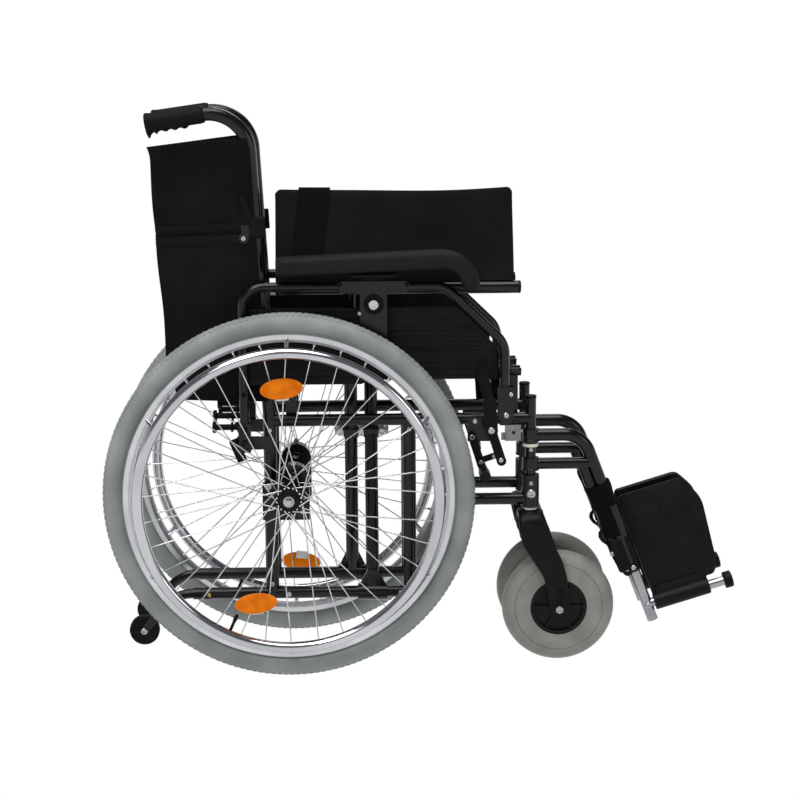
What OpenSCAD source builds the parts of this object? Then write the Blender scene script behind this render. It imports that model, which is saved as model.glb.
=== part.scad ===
// Folding manual wheelchair, drawn in the folded state with the footplates up.
// +X is forwards, +Z is up, the floor is z = 0 and the middle plane of the chair is y = 0.

/* [Fold] */
// Distance between the tube planes of the two side frames when folded
folded_gap = 120; // [112:1:140]
// Distance between the tube planes of the two side frames when open
open_gap = 380; // [330:5:440]
// Length of each cross brace below the centre pivot
brace_lower = 274; // [250:1:300]
// Length of each cross brace above the centre pivot
brace_upper = 256; // [235:1:275]
// Distance from the rear axle forwards to the centre of the front brace
brace_x = 136; // [115:1:150]
// Spacing of the two braces along the pivot bolt
brace_pitch = 34; // [32:1:44]

/* [Side frame] */
// Outer diameter of the posts and the braces
post_d = 22; // [20:0.5:25]
// Outer diameter of the long rails
rail_d = 20; // [18:0.5:22]
// Outer diameter of the seat rails
seat_rail_d = 21; // [18:0.5:24]
// Outer diameter of the front post
front_post_d = 18; // [16:0.5:22]
// Height of the lower rail
lower_rail_z = 122; // [110:1:140]
// Height of the upper rail
upper_rail_z = 419; // [395:1:435]
// Height of the short front rail
front_rail_z = 281; // [265:1:295]
// Distance of the rear post behind the rear axle
rear_post_x = 33; // [28:1:40]
// Distance of the middle post ahead of the rear axle
mid_post_x = 199; // [190:1:215]
// Distance of the front post ahead of the rear axle
front_post_x = 402; // [380:1:430]
// Height of the top of the front post
front_post_top = 454; // [440:1:470]
// Distance of the rear end of the lower rail behind the rear axle
rail_tail = 147; // [135:1:160]
// Radius of the bends of the lower rail
rail_bend_r = 50; // [40:1:55]
// Length of each seat rail
seat_rail_len = 395; // [340:1:410]
// Distance of the rear end of the seat rails behind the rear axle
seat_rail_tail = 15; // [5:1:16]

/* [Back] */
// Height of the folding joint of the back
back_joint_z = 724; // [700:1:760]
// Lean of the back, in degrees
back_lean = 3.2; // [0:0.1:8]
// Height of the top of the push handle tube
handle_z = 925; // [900:1:980]
// Radius of the push handle bend
handle_r = 66; // [60:1:90]
// Length of the push grip
grip_len = 97; // [90:1:130]
// Outer diameter of the push grip
grip_d = 30; // [27:0.5:34]
// Thickness of the back and seat cloth
cloth_t = 6; // [4:0.5:7]
// Height of the lower edge of the back cloth
back_cloth_z = 457; // [440:1:500]

/* [Rear wheels] */
// Outer diameter of the rear tyre
wheel_d = 610; // [560:5:660]
// Width of the rear tyre
tyre_w = 34; // [28:1:36]
// Diameter of the outer edge of the rear rim
rim_d = 542; // [500:1:560]
// Width of the rear rim
rim_w = 25; // [20:1:28]
// Distance of the wheel's middle plane outside the side frame
wheel_out = 66; // [62:1:80]
// Diameter of the centre line of the handrim
handrim_d = 490; // [450:1:500]
// Diameter of the handrim tube
handrim_tube = 18; // [15:0.5:20]
// Distance of the handrim outside the wheel's middle plane
handrim_out = 42; // [38:1:50]
// Number of spokes in each wheel
spoke_count = 36; // [20:4:40]
// Diameter of a spoke
spoke_d = 2; // [1.6:0.1:2.6]
// Diameter of the quick-release axle
axle_d = 12; // [10:0.5:14]
// Diameter of the hub flanges
hub_flange_d = 47; // [42:1:56]

/* [Casters] */
// Outer diameter of the caster tyre
caster_d = 190; // [150:5:200]
// Width of the caster tyre
caster_w = 38; // [30:1:42]
// Distance of the caster axle from the swivel axis
caster_trail = 48; // [35:1:60]
// Diameter of the caster rim
caster_rim_d = 96; // [80:1:110]
// Diameter of the caster stem
stem_d = 12; // [10:0.5:13]

/* [Armrest] */
// Distance of the armrest tube outside the side frame
arm_out = 28; // [27:0.5:32]
// Diameter of the armrest tube
arm_d = 16; // [14:0.5:17]
// Height of the top tube of the armrest
arm_z = 646; // [620:1:690]
// Height of the armrest pivot
arm_pivot_z = 383; // [375:1:388]
// Distance of the armrest pivot behind the rear axle
arm_pivot_x = 73; // [70:1:80]
// Distance of the front leg of the armrest ahead of the rear axle
arm_leg_x = 356; // [340:1:365]
// Length of the armrest pad, along the chair
pad_len = 329; // [290:1:340]
// Width of the armrest pad
pad_w = 46; // [40:1:60]
// Thickness of the armrest pad
pad_t = 28; // [20:1:32]

/* [Front rigging] */
// Height of the upper hanger tube
hanger_z = 390; // [380:1:394]
// Height of the lower hanger tube
hanger_low_z = 341; // [335:1:348]
// Outer diameter of the hanger tubes
hanger_d = 21.5; // [20.5:0.25:21.75]
// Angle of the hanger from the vertical, in degrees
hanger_tilt = 21; // [10:1:30]
// Outer diameter of the foot tube
foot_tube_d = 18.5; // [16:0.5:18.5]
// Length of the footplate from its hinge
plate_len = 190; // [150:1:192]
// Width of the footplate along its hinge
plate_w = 129; // [105:1:150]
// Thickness of the footplate
plate_t = 9; // [6:0.5:12]

/* [Anti-tippers] */
// Diameter of the anti-tip wheel
tip_wheel_d = 50; // [40:1:60]
// Diameter of the anti-tip tube
tip_tube_d = 16; // [14:0.5:17]

/* [Fits] */
// Radial clearance of a running fit
running = 0.05; // [0.02:0.01:0.1]
// Clearance between pieces that pass each other
clear = 0.5; // [0.3:0.1:1]

/* [Hidden] */
// Height of the folding joint's ears, and the gap the cloth leaves each side of the joint
ear_h = 21;
cloth_gap = 24;
// Gap from the cane to the upper cloth, and from the handle's top down to it
cane_cloth_gap = 7.6;
cloth_drop = 42;
$fn = 48;

// fold geometry: the braces turn between these two angles from the horizontal
fold_angle = acos(folded_gap / 2 / brace_lower);
open_angle = acos(open_gap / 2 / brace_lower);
pivot_z = lower_rail_z + brace_lower * sin(fold_angle);
seat_rail_z = lower_rail_z + (brace_lower + brace_upper) * sin(fold_angle);
seat_rail_y = brace_upper * cos(fold_angle);
seat_rail_open_z = lower_rail_z + (brace_lower + brace_upper) * sin(open_angle);
seat_rail_open_in = (brace_lower - brace_upper) * cos(open_angle);
brace_rear_x = brace_x - brace_pitch;

// cloth halves: each reaches its neighbour both folded and open
seat_half = brace_upper * cos(open_angle) - clear;
seat_rise = acos((seat_rail_y - cloth_t / 2 - clear) / seat_half);
back_half = open_gap / 2 - clear;
back_turn = acos((folded_gap / 2 - cloth_t / 2 - clear) / back_half);
back_foot_z = 430;
lean_r = 120;
lean_c = [-rear_post_x - lean_r, back_foot_z - lean_r * tan(back_lean / 2)];
back_joint_x = rear_post_x + (back_joint_z - back_foot_z) * tan(back_lean);
back_pivot_x = back_joint_x + post_d / 2 + 9;
catch_at = [back_joint_x + 5, back_joint_z + 42];
handle_drop = 8;
handle_foot_z = handle_z - handle_r + handle_r * sin(back_lean);
handle_foot_x = -back_joint_x - (handle_foot_z - back_joint_z) * tan(back_lean);
handle_c = [handle_foot_x - handle_r * cos(back_lean), handle_z - handle_r];
handle_end = handle_c + handle_r * [cos(90 + handle_drop), sin(90 + handle_drop)];
bend_swell = 0.2;

axle_z = wheel_d / 2;
hub_half = 32;
flange_half = 24;
saddle_x = [3, 372];
block_top = axle_z + 46;
block_low = axle_z - 49;

caster_z = caster_d / 2;
stem_len = 88;
fork_in = caster_w / 2 + 3;
fork_t = 8;
crown_top = 262 - clear;

arm_bend_r = 40;
arm_rear_r = 34;
arm_slope = 44;
arm_top_x = 240;
arm_foot_z = 457;
pad_tail = 22;
pad_rise = 11;
pad_z = 666;
pad_out = post_d / 2 + 2.5 + pad_w / 2;
post_x = 141;
post_w = 34;
post_t = 9;

tip_arc_r = 62;
tip_plug = 52;
tip_x = 251;
tip_z = 60;

// front rigging: the main tube leaves the upper tube after a bend, at hanger_tilt
hanger_bend_r = 45;
hanger_bend_x = front_post_x + 56;
main_top = [
    hanger_bend_x + hanger_bend_r * cos(hanger_tilt),
    hanger_z - hanger_bend_r + hanger_bend_r * sin(hanger_tilt)
];
main_dir = [sin(hanger_tilt), -cos(hanger_tilt)];
main_len = 222;
main_end = main_top + main_len * main_dir;
sleeve_len = 122;
foot_out = 92;
foot_in = 110;
foot_end = main_end + foot_out * main_dir;
hinge_tilt = 17;
hinge_at = foot_end - 27 * main_dir;
hinge_dir = [cos(hinge_tilt), sin(hinge_tilt)];
plate_start = 13;
plate_lean = 12;
rod_d = 16;
barrel_d = 28;
rod_len = 137;
barrel_end = rod_len - 27;
latch_x = front_post_x - 30;
latch_z = upper_rail_z - 21;
cap_len = 12;
cap_d = 27;
front_reach = hinge_at.x + (rod_len + cap_len) * cos(hinge_tilt) + cap_d / 2 * sin(hinge_tilt);

// the box of the folded chair runs from the back of the rear tyres to the footrest rods
axle_x = (wheel_d / 2 - front_reach) / 2;

// ---------- places ----------

// Puts a piece drawn around the rear axle into the chair's frame
module at_axle() {
    translate([axle_x, 0, 0]) children();
}

// Puts a piece drawn in the side frame's plane, outside towards -Y, on the right-hand side
module right_side() {
    translate([axle_x, -folded_gap / 2, 0]) children();
}

// The same piece mirrored to the left-hand side
module left_side() {
    mirror([0, 1, 0]) right_side() children();
}

// Puts a piece drawn around the wheel's axis, outside towards -Y, at the rear wheel
module at_wheel() {
    translate([0, -wheel_out, axle_z]) children();
}

// Puts a piece drawn around the caster axle at the caster
module at_caster() {
    translate([front_post_x + caster_trail, 0, caster_z]) children();
}

// ---------- shapes ----------

// A round bar between two points
module bar(a, b, d) {
    v = b - a;
    len = norm(v);
    translate(a) rotate([0, acos(v.z / len), atan2(v.y, v.x)]) cylinder(d = d, h = len);
}

// A bent round bar in an upright plane: centre, radius, and angles up from +X.
// It is a hair fuller than the bars it joins and runs one millimetre over their ends.
module bend(c, r, d, a0, a1, y = 0) {
    over = 57.3 / r;
    translate([c.x, y, c.y]) rotate([90, 0, 0]) rotate([0, 0, a0 - over])
        rotate_extrude(angle = a1 - a0 + 2 * over, $fn = 96) translate([r, 0])
        circle(d = d + bend_swell);
}

// A cylinder along Y from y0 outwards to y1
module pin_y(x, z, d, y0, y1) {
    translate([x, y0, z]) rotate([90, 0, 0]) cylinder(d = d, h = y0 - y1);
}

// A flat plate cut from an outline in the upright plane, from y0 outwards to y1
module plate_y(y0, y1) {
    translate([0, y0, 0]) rotate([90, 0, 0]) linear_extrude(y0 - y1) children();
}

// A round strap of flat metal between two round ends, a hair narrower between them
module strap(a, b, w) {
    v = b - a;
    half = w / 2 - bend_swell;
    translate(a) circle(d = w);
    translate(b) circle(d = w);
    translate(a) rotate(atan2(v.y, v.x)) translate([0, -half]) square([norm(v), 2 * half]);
}

// A ring turned about the wheel's axis from an outline of [radius, width]
module turned() {
    rotate([90, 0, 0]) rotate_extrude($fn = 180) children();
}

// ---------- side frame ----------

module lower_rail() {
    rise = front_rail_z - lower_rail_z;
    turn = 75;
    slope_len = (rise - 2 * rail_bend_r * (1 - cos(turn))) / sin(turn);
    x0 = mid_post_x - 4;
    x1 = x0 + rail_bend_r * sin(turn);
    z1 = lower_rail_z + rail_bend_r * (1 - cos(turn));
    x2 = x1 + slope_len * cos(turn);
    z2 = z1 + slope_len * sin(turn);
    x3 = x2 + rail_bend_r * sin(turn);
    bar([-rail_tail, 0, lower_rail_z], [x0, 0, lower_rail_z], rail_d);
    bend([x0, lower_rail_z + rail_bend_r], rail_bend_r, rail_d, -90, -90 + turn);
    bar([x1, 0, z1], [x2, 0, z2], rail_d);
    bend([x3, front_rail_z - rail_bend_r], rail_bend_r, rail_d, 90, 90 + turn);
    bar([x3, 0, front_rail_z], [front_post_x, 0, front_rail_z], rail_d);
}

// A cradle that the seat rail drops into when the chair is open
module saddle(x) {
    in = seat_rail_open_in;
    inner = seat_rail_d / 2 + clear;
    outer = inner + 4;
    translate([x - 9, rail_d / 2 - 2, upper_rail_z - 6])
        cube([18, 5, seat_rail_open_z - inner - 1 - upper_rail_z + 6]);
    translate([x - 14, in, seat_rail_open_z]) rotate([0, 90, 0]) difference() {
        cylinder(r = outer, h = 28);
        translate([0, 0, -1]) cylinder(r = inner, h = 30);
        translate([-outer - 1, -outer - 1, -1]) cube([outer + 1, 2 * outer + 2, 30]);
    }
}

// The block that carries the wheel's axle, clamped to the rear post
module axle_block() {
    plate_y(-8, -30) difference() {
        union() {
            translate([-46, block_low]) square([78, 60]);
            translate([-19, block_low + 50]) square([50, block_top - block_low - 76]);
            translate([6, block_top - 26]) circle(r = 26);
        }
        translate([0, axle_z]) circle(d = axle_d);
        translate([6, axle_z + 26]) circle(d = axle_d);
    }
}

// The pivot of the armrest and the bracket that holds it on the rear post
module arm_pivot_bracket() {
    plate_y(-10, -14) union() {
        translate([-arm_pivot_x - 14, arm_pivot_z - 10])
            square([arm_pivot_x + 14 - rear_post_x, 22]);
    }
    pin_y(-arm_pivot_x, arm_pivot_z, 10, -13, -arm_out - 11);
    pin_y(-arm_pivot_x, arm_pivot_z, 16, -arm_out - 10 - clear, -arm_out - 13);
}

// The socket that the front leg of the armrest drops into
module arm_socket() {
    half = arm_d / 2 + 2;
    difference() {
        translate([arm_leg_x - 11, -arm_out - half, upper_rail_z + 6])
            cube([26, 2 * half, 53]);
        translate([arm_leg_x - 12, -arm_out - arm_d / 2 - running * 6, arm_foot_z - clear])
            cube([12 + arm_d / 2 + 1, arm_d + running * 12, 40]);
    }
    translate([arm_leg_x - 8, -arm_out - half + 2, upper_rail_z - 5])
        cube([18, arm_out + half - 6, 14]);
}

module side_frame() {
    difference() {
        union() {
            lower_rail();
            bar([-rear_post_x, 0, lower_rail_z], [-rear_post_x, 0, lean_c.y], post_d);
            bend(lean_c, lean_r, post_d, 0, back_lean);
            bar([lean_c.x + lean_r * cos(back_lean), 0, lean_c.y + lean_r * sin(back_lean)],
                [-back_joint_x, 0, back_joint_z], post_d);
            bar([mid_post_x, 0, lower_rail_z], [mid_post_x, 0, upper_rail_z], post_d);
            bar([-rear_post_x, 0, upper_rail_z], [front_post_x, 0, upper_rail_z], rail_d);
            bar([front_post_x, 0, 262], [front_post_x, 0, front_post_top], front_post_d);
            bar([front_post_x, 0, 268], [front_post_x, 0, 323], front_post_d + 12);
        }
        // sockets for the anti-tip plug and for the caster stem
        bar([-rail_tail - 1, 0, lower_rail_z], [-rail_tail + tip_plug + 4, 0, lower_rail_z],
            tip_tube_d + 2 * running);
        bar([front_post_x, 0, 261], [front_post_x, 0, 262 + stem_len + 4],
            stem_d + 2 * running);
        // the back's folding joint leaves a small gap above the lower tube
        translate([-back_joint_x - 20, -20, back_joint_z - clear / 2]) cube([40, 40, 20]);
    }
    for (x = saddle_x) saddle(x);
    axle_block();
    arm_pivot_bracket();
    arm_socket();
    // knuckle of the back's folding joint
    difference() {
        union() {
            pin_y(-back_pivot_x, back_joint_z, 16, 4, -4);
            translate([-back_pivot_x - 4, -4, back_joint_z - 22])
                cube([back_pivot_x - back_joint_x + 4, 8, 22]);
        }
        pin_y(-back_pivot_x, back_joint_z, 6 + 2 * running, 5, -5);
        translate([-back_pivot_x + 8 + clear, -5, back_joint_z - clear / 2])
            cube([30, 10, 10]);
    }
    // plate of the brake, on the outside of the upper rail, with the lever's pivot
    plate_y(-8, -14) union() {
        translate([296, upper_rail_z - 36]) square([50, 40]);
    }
    pin_y(333, 408, 8, -13, -arm_out - 20);
    pin_y(303, 392, 6, -13, -arm_out + 2);
    // lug and pin of the hanger latch
    plate_y(-6, -11) translate([latch_x - 12, latch_z - 10]) square([22, upper_rail_z - latch_z + 8]);
    pin_y(latch_x, latch_z, 6, -10, -21);
}

// ---------- rear wheel ----------

module rear_axle() {
    difference() {
        union() {
            pin_y(0, axle_z, axle_d, -8, -wheel_out - hub_half - 3);
            pin_y(0, axle_z, 18, -wheel_out - hub_half - clear, -wheel_out - hub_half - 6);
        }
        pin_y(0, axle_z, 6 + 2 * running, -7, -wheel_out - hub_half - 7);
    }
}

module axle_button() {
    pin_y(0, axle_z, 6, -12, -wheel_out - hub_half - 9);
    pin_y(0, axle_z, 10, -wheel_out - hub_half - 9, -wheel_out - hub_half - 12);
}

module rear_hub() {
    turned() {
        for (s = [-1, 1]) translate([axle_d / 2 + running + 5, s * flange_half - 1.5])
            square([hub_flange_d / 2 - axle_d / 2 - running - 5, 3]);
        translate([axle_d / 2 + running, -hub_half + 1]) square([8, 2 * hub_half - 1]);
        translate([12, -flange_half - 2]) square([4, 2 * flange_half + 4]);
    }
}

// One spoke from a hub flange to the rim, laced across its neighbours
module spoke(i) {
    side = i % 2 == 0 ? 1 : -1;
    lead = floor(i / 2) % 2 == 0 ? 1 : -1;
    at_rim = i * 360 / spoke_count;
    at_hub = at_rim + lead * 62;
    r0 = hub_flange_d / 2 - 3.5;
    r1 = rim_d / 2 - 9;
    bar([r0 * cos(at_hub), side * flange_half + lead * 1.6, r0 * sin(at_hub)],
        [r1 * cos(at_rim), side * 3, r1 * sin(at_rim)], spoke_d);
}

module spokes() {
    for (i = [0 : spoke_count - 1]) spoke(i);
}

module rear_rim() {
    r = rim_d / 2;
    turned() difference() {
        translate([r - 13, -rim_w / 2]) square([13, rim_w]);
        translate([r - 5, -rim_w / 2 + 3]) square([6, rim_w - 6]);
        for (s = [-1, 1]) translate([r - 13, s * rim_w / 2]) rotate(45) square(7, center = true);
    }
}

module rear_tyre() {
    r = rim_d / 2;
    mid = wheel_d / 2 - tyre_w / 2;
    turned() difference() {
        union() {
            translate([mid, 0]) circle(d = tyre_w, $fn = 64);
            translate([r - 4.5, -rim_w / 2 + 3.2]) square([20, rim_w - 6.4]);
        }
        translate([r - 30, -rim_w]) square([25.5, 2 * rim_w]);
        for (s = [-1, 1]) translate([r - 6, s * rim_w / 2 - 3.2]) square([6.3, 6.4]);
    }
}

module handrim() {
    r = handrim_d / 2;
    translate([0, -handrim_out, 0]) turned() translate([r, 0]) circle(d = handrim_tube);
    // tabs that hold the handrim on the inner edge of the rim
    for (i = [0 : 5]) rotate([0, 30 + i * 60, 0])
        bar([r + 4, -handrim_out + 4, 0], [rim_d / 2 - 8, -rim_w / 2 + 1, 0], 7);
}

// ---------- caster ----------

// Outline of one fork leg, in the upright plane, around the swivel axis at x = 0
module fork_outline() {
    axle = [caster_trail, caster_z];
    strap(axle + [0, 22], axle, 34);
    polygon([
        axle + [-19, 12], axle + [-25, 53], [5, 176], [-14, 204], [-21, 236], [-21, crown_top - 8],
        [22, crown_top - 8], [34, 226], [41, 204], [54, 174], axle + [15, 55], axle + [18, 12]
    ]);
}

module caster_fork() {
    translate([front_post_x, 0, 0]) {
        difference() {
            union() {
                for (s = [0, 1]) mirror([0, s, 0]) plate_y(-fork_in, -fork_in - fork_t)
                    fork_outline();
                // crown over the wheel
                translate([-17, -fork_in - fork_t, caster_z + caster_d / 2 + 22])
                    cube([38, 2 * (fork_in + fork_t), crown_top - 10 - caster_z - caster_d / 2 - 22]);
                translate([0, 0, crown_top - 14]) cylinder(d = 32, h = 14);
            }
            // adjusting holes for the axle
            for (z = [14, 32]) pin_y(caster_trail, caster_z + z, 6.5, 60, -60);
        }
        cylinder_stem();
        pin_y(caster_trail, caster_z, 8, fork_in + fork_t + 4, -fork_in - fork_t - 4);
    }
}

module cylinder_stem() {
    translate([0, 0, crown_top - 8]) cylinder(d = stem_d, h = stem_len + 6);
}

module caster_rim() {
    r = caster_rim_d / 2;
    turned() difference() {
        translate([4 + running, -caster_w / 2 + 2]) square([r - 4 - running, caster_w - 4]);
        for (s = [-1, 1]) translate([15, s * caster_w / 2 - 9]) square([r - 21, 18]);
    }
    for (i = [0 : 5]) rotate([0, i * 60, 0])
        translate([13, -caster_w / 2 + 4, -2]) cube([r - 17, caster_w - 8, 4]);
}

module caster_tyre() {
    r = caster_d / 2;
    inner = caster_rim_d / 2;
    turned() difference() {
        union() {
            translate([r - caster_w / 2, 0]) circle(d = caster_w, $fn = 64);
            translate([inner, -caster_w / 2]) square([r - caster_w / 2 - inner, caster_w]);
        }
        for (s = [-1, 1], k = [0, 1]) translate([r - 21 + k * 6, s * (caster_w / 2 - k * 1.5)])
            circle(r = 1, $fn = 16);
    }
}

// ---------- cross brace ----------

// One brace, its lower end around the right-hand rail and its seat rail on the left
module brace_tube(x) {
    top = [x, seat_rail_y, seat_rail_z];
    foot = [x, -folded_gap / 2, lower_rail_z];
    difference() {
        union() {
            bar(foot, top, post_d);
            bar(foot - [25, 0, 0], foot + [25, 0, 0], rail_d + 8);
            bar([x - 13, 0, pivot_z], [x + 13, 0, pivot_z], 26);
            bar([-seat_rail_tail, seat_rail_y, seat_rail_z],
                [seat_rail_len - seat_rail_tail, seat_rail_y, seat_rail_z], seat_rail_d);
            // gusset at the foot
            translate([x, -folded_gap / 2, lower_rail_z]) rotate([90 - fold_angle, 0, 0])
                rotate([90, 0, 0]) translate([0, 0, -2]) linear_extrude(4)
                polygon([[-25, 8], [25, 8], [8, 42], [-8, 42]]);
        }
        bar(foot - [30, 0, 0], foot + [30, 0, 0], rail_d + 2 * running);
        bar([x - 20, 0, pivot_z], [x + 20, 0, pivot_z], 10 + 2 * running);
    }
}

module brace_front() {
    brace_tube(brace_x);
}

module brace_rear() {
    mirror([0, 1, 0]) brace_tube(brace_rear_x);
}

module brace_bolt() {
    bar([brace_rear_x - 19, 0, pivot_z], [brace_x + 24, 0, pivot_z], 10);
    bar([brace_rear_x - 22, 0, pivot_z], [brace_rear_x - 13 - clear, 0, pivot_z], 20);
    bar([brace_rear_x + 13 + clear, 0, pivot_z], [brace_x - 13 - clear, 0, pivot_z], 22);
    bar([brace_x + 13 + clear, 0, pivot_z], [brace_x + 22, 0, pivot_z], 18);
}

// ---------- cloth ----------

// The right-hand half of the seat cloth, from its rail up to the crease
module seat_cloth() {
    start = seat_rail_d / 2 + clear;
    translate([0, -seat_rail_y, seat_rail_z]) rotate([seat_rise, 0, 0])
        translate([-seat_rail_tail + 2, start, -cloth_t / 2])
        cube([seat_rail_len - 14, seat_half - start, cloth_t]);
}

// The right-hand half of a panel of the back cloth, between two heights, from start off the post
module back_cloth(z0, z1, start) {
    translate([-rear_post_x, 0, back_foot_z]) rotate([0, -back_lean, 0])
        rotate([0, 0, back_turn]) translate([-cloth_t / 2, start, z0 - back_foot_z])
        cube([cloth_t, back_half - start, z1 - z0]);
}

// ---------- upper back ----------

module push_cane() {
    end = handle_end;
    tip = end + (grip_len - 6) * [-cos(handle_drop), -sin(handle_drop)];
    difference() {
        union() {
            bar([-back_joint_x + 2 * tan(back_lean), 0, back_joint_z - 2],
                [handle_foot_x, 0, handle_foot_z], post_d);
            bend(handle_c, handle_r, post_d, back_lean, 90 + handle_drop);
            bar([end.x, 0, end.y], [tip.x, 0, tip.y], post_d);
        }
        translate([-back_joint_x - 20, -20, back_joint_z - 20 + clear / 2]) cube([40, 40, 20]);
    }
    // ears of the folding joint, with its pin
    for (s = [0, 1]) mirror([0, s, 0]) {
        pin_y(-back_pivot_x, back_joint_z, 16, -4 - clear, -10);
        translate([-back_pivot_x - 4, -10, back_joint_z + clear])
            cube([back_pivot_x - back_joint_x + 4, 6 - clear, ear_h]);
    }
    pin_y(-back_pivot_x, back_joint_z, 6, 9, -9);
    // pin of the lever that frees the joint
    pin_y(-catch_at.x, catch_at.y, 5, 16.5, 5);
}

module push_grip() {
    translate([handle_end.x, 0, handle_end.y]) rotate([0, -90 - handle_drop, 0]) difference() {
        union() {
            translate([0, 0, 2]) cylinder(d = grip_d - 3, h = grip_len - 2);
            for (i = [0 : 3]) translate([0, 0, 14 + i * 23]) cylinder(d = grip_d, h = 12);
            translate([0, 0, grip_len - 5]) cylinder(d = grip_d + 3, h = 5);
        }
        translate([0, 0, -1]) cylinder(d = post_d, h = grip_len - 4);
    }
}

// The long lever that frees the back's folding joint
module back_catch() {
    x = -catch_at.x;
    z = catch_at.y;
    difference() {
        plate_y(15.5, 12) union() {
            strap([x, z], [x - 16, z + 34], 12);
            strap([x, z], [x - 4, z - 26], 14);
        }
        pin_y(x, z, 5 + 2 * running, 20, 5);
    }
}

// ---------- armrest ----------

module arm_frame() {
    y = -arm_out;
    r = arm_bend_r;
    top_c = [arm_top_x, arm_z - r];
    diag = 90 - arm_slope;
    x1 = arm_top_x + r * cos(diag);
    z1 = arm_z - r + r * sin(diag);
    x2 = arm_leg_x - r + r * cos(diag);
    z2 = z1 - (x2 - x1) * tan(arm_slope);
    leg_z = z2 - r * sin(diag);
    rear_z = arm_z - arm_rear_r;
    difference() {
        union() {
            bar([-arm_pivot_x, y, arm_pivot_z + 12], [-arm_pivot_x, y, rear_z], arm_d);
            bend([-arm_pivot_x + arm_rear_r, rear_z], arm_rear_r, arm_d, 90, 180, y);
            bar([-arm_pivot_x + arm_rear_r, y, arm_z], [arm_top_x, y, arm_z], arm_d);
            bend(top_c, r, arm_d, diag, 90, y);
            bar([x1, y, z1], [x2, y, z2], arm_d);
            bend([arm_leg_x - r, leg_z], r, arm_d, 0, diag, y);
            bar([arm_leg_x, y, leg_z], [arm_leg_x, y, arm_foot_z], arm_d);
            // foot of the rear leg, around the pivot
            translate([-arm_pivot_x - 10, y - 10, arm_pivot_z - 10]) cube([20, 20, 48]);
            // housing of the pad's post
            translate([post_x - 55, y - 10, arm_z - 10]) cube([110, 20, 19.5]);
            translate([post_x - 22, y - 9, arm_z - 92]) cube([44, 18, 90]);
        }
        pin_y(-arm_pivot_x, arm_pivot_z, 10 + 2 * running, y + 11, y - 11);
        translate([post_x - post_w / 2 - 0.1, y - post_t / 2 - 0.1, arm_z - 93])
            cube([post_w + 0.2, post_t + 0.2, 120]);
    }
}

module side_guard() {
    t = 3;
    y = -arm_out + arm_d / 2 - 1 + t;
    low = 483;
    difference() {
        plate_y(y, y - t) polygon([
            [-arm_pivot_x - 11, low], [120, low], [134, low + 7], [arm_leg_x - 10, low + 7],
            [arm_leg_x - 14, 545], [276, 610], [-arm_pivot_x - 6, 610]
        ]);
        for (z = [506, 537, 560, 591]) translate([-100, y - t - 1, z]) cube([520, 1.8, 2]);
    }
}

module arm_pad() {
    y = -pad_out;
    c = [pad_len - pad_tail - 57, pad_z + pad_rise - 29];
    translate([0, y + pad_w / 2, 0]) plate_y(0, -pad_w) {
        polygon([[-pad_tail, pad_z], [c.x, c.y + 29], [c.x, c.y + 29 + pad_t], [-pad_tail, pad_z + pad_t - 1]]);
        intersection() {
            translate(c) difference() {
                circle(r = 29 + pad_t, $fn = 96);
                circle(r = 29, $fn = 96);
            }
            translate(c + [-1, 3]) square(80);
        }
    }
    translate([post_x - post_w / 2, -arm_out - post_t / 2, arm_z - 80])
        cube([post_w, post_t, pad_z + 6 - arm_z + 80]);
    translate([post_x - 30, y - 12, pad_z]) cube([60, 30, 8]);
}

// ---------- brake ----------

module brake_lever() {
    y0 = -arm_out - 11;
    difference() {
        plate_y(y0, y0 - 8) {
            strap([333, 408], [330, 455], 22);
            strap([330, 455], [320, 498], 13);
            strap([333, 408], [350, 356], 16);
        }
        pin_y(333, 408, 8 + 2 * running, y0 + 1, y0 - 9);
    }
}

module brake_shoe() {
    difference() {
        plate_y(-17, -22) {
            strap([303, 392], [318, 345], 14);
            strap([318, 352], [342, 360], 10);
        }
        pin_y(303, 392, 6 + 2 * running, -16, -23);
    }
    pin_y(321, 338, 15, -17, -wheel_out - tyre_w / 2 + 2);
}

// ---------- front rigging ----------

module hanger() {
    function at(s) = main_top + s * main_dir;
    a = at(0);
    b = main_end;
    s0 = at(main_len - sleeve_len);
    weld = (hanger_low_z - main_top.y) / main_dir.y;
    difference() {
        union() {
            bar([front_post_x, 0, hanger_z], [hanger_bend_x, 0, hanger_z], hanger_d);
            bend([hanger_bend_x, hanger_z - hanger_bend_r], hanger_bend_r, hanger_d, hanger_tilt, 90);
            bar([a.x, 0, a.y], [b.x, 0, b.y], hanger_d);
            bar([s0.x, 0, s0.y], [b.x, 0, b.y], hanger_d + 6);
            bar([front_post_x, 0, hanger_low_z], [at(weld).x, 0, hanger_low_z], hanger_d - 2);
            for (z = [hanger_z, hanger_low_z])
                bar([front_post_x, 0, z - 11], [front_post_x, 0, z + 11], front_post_d + 10);
        }
        bar([front_post_x, 0, hanger_low_z - 20], [front_post_x, 0, hanger_z + 20],
            front_post_d + 2 * running);
        bar([b.x + main_dir.x, 0, b.y + main_dir.y],
            [b.x - main_dir.x * (foot_in + 70), 0, b.y - main_dir.y * (foot_in + 70)],
            foot_tube_d + 2 * running);
    }
}

// The latch that locks the hanger to the front post
module hanger_latch() {
    difference() {
        union() {
            plate_y(-11.5, -19.5) translate([latch_x - 14, latch_z - 14]) square([26, 27]);
            plate_y(-11.5, -16) translate([latch_x - 20, latch_z - 13]) square([8, 12]);
        }
        pin_y(latch_x, latch_z, 6 + 2 * running, -11, -22);
    }
}

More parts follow.
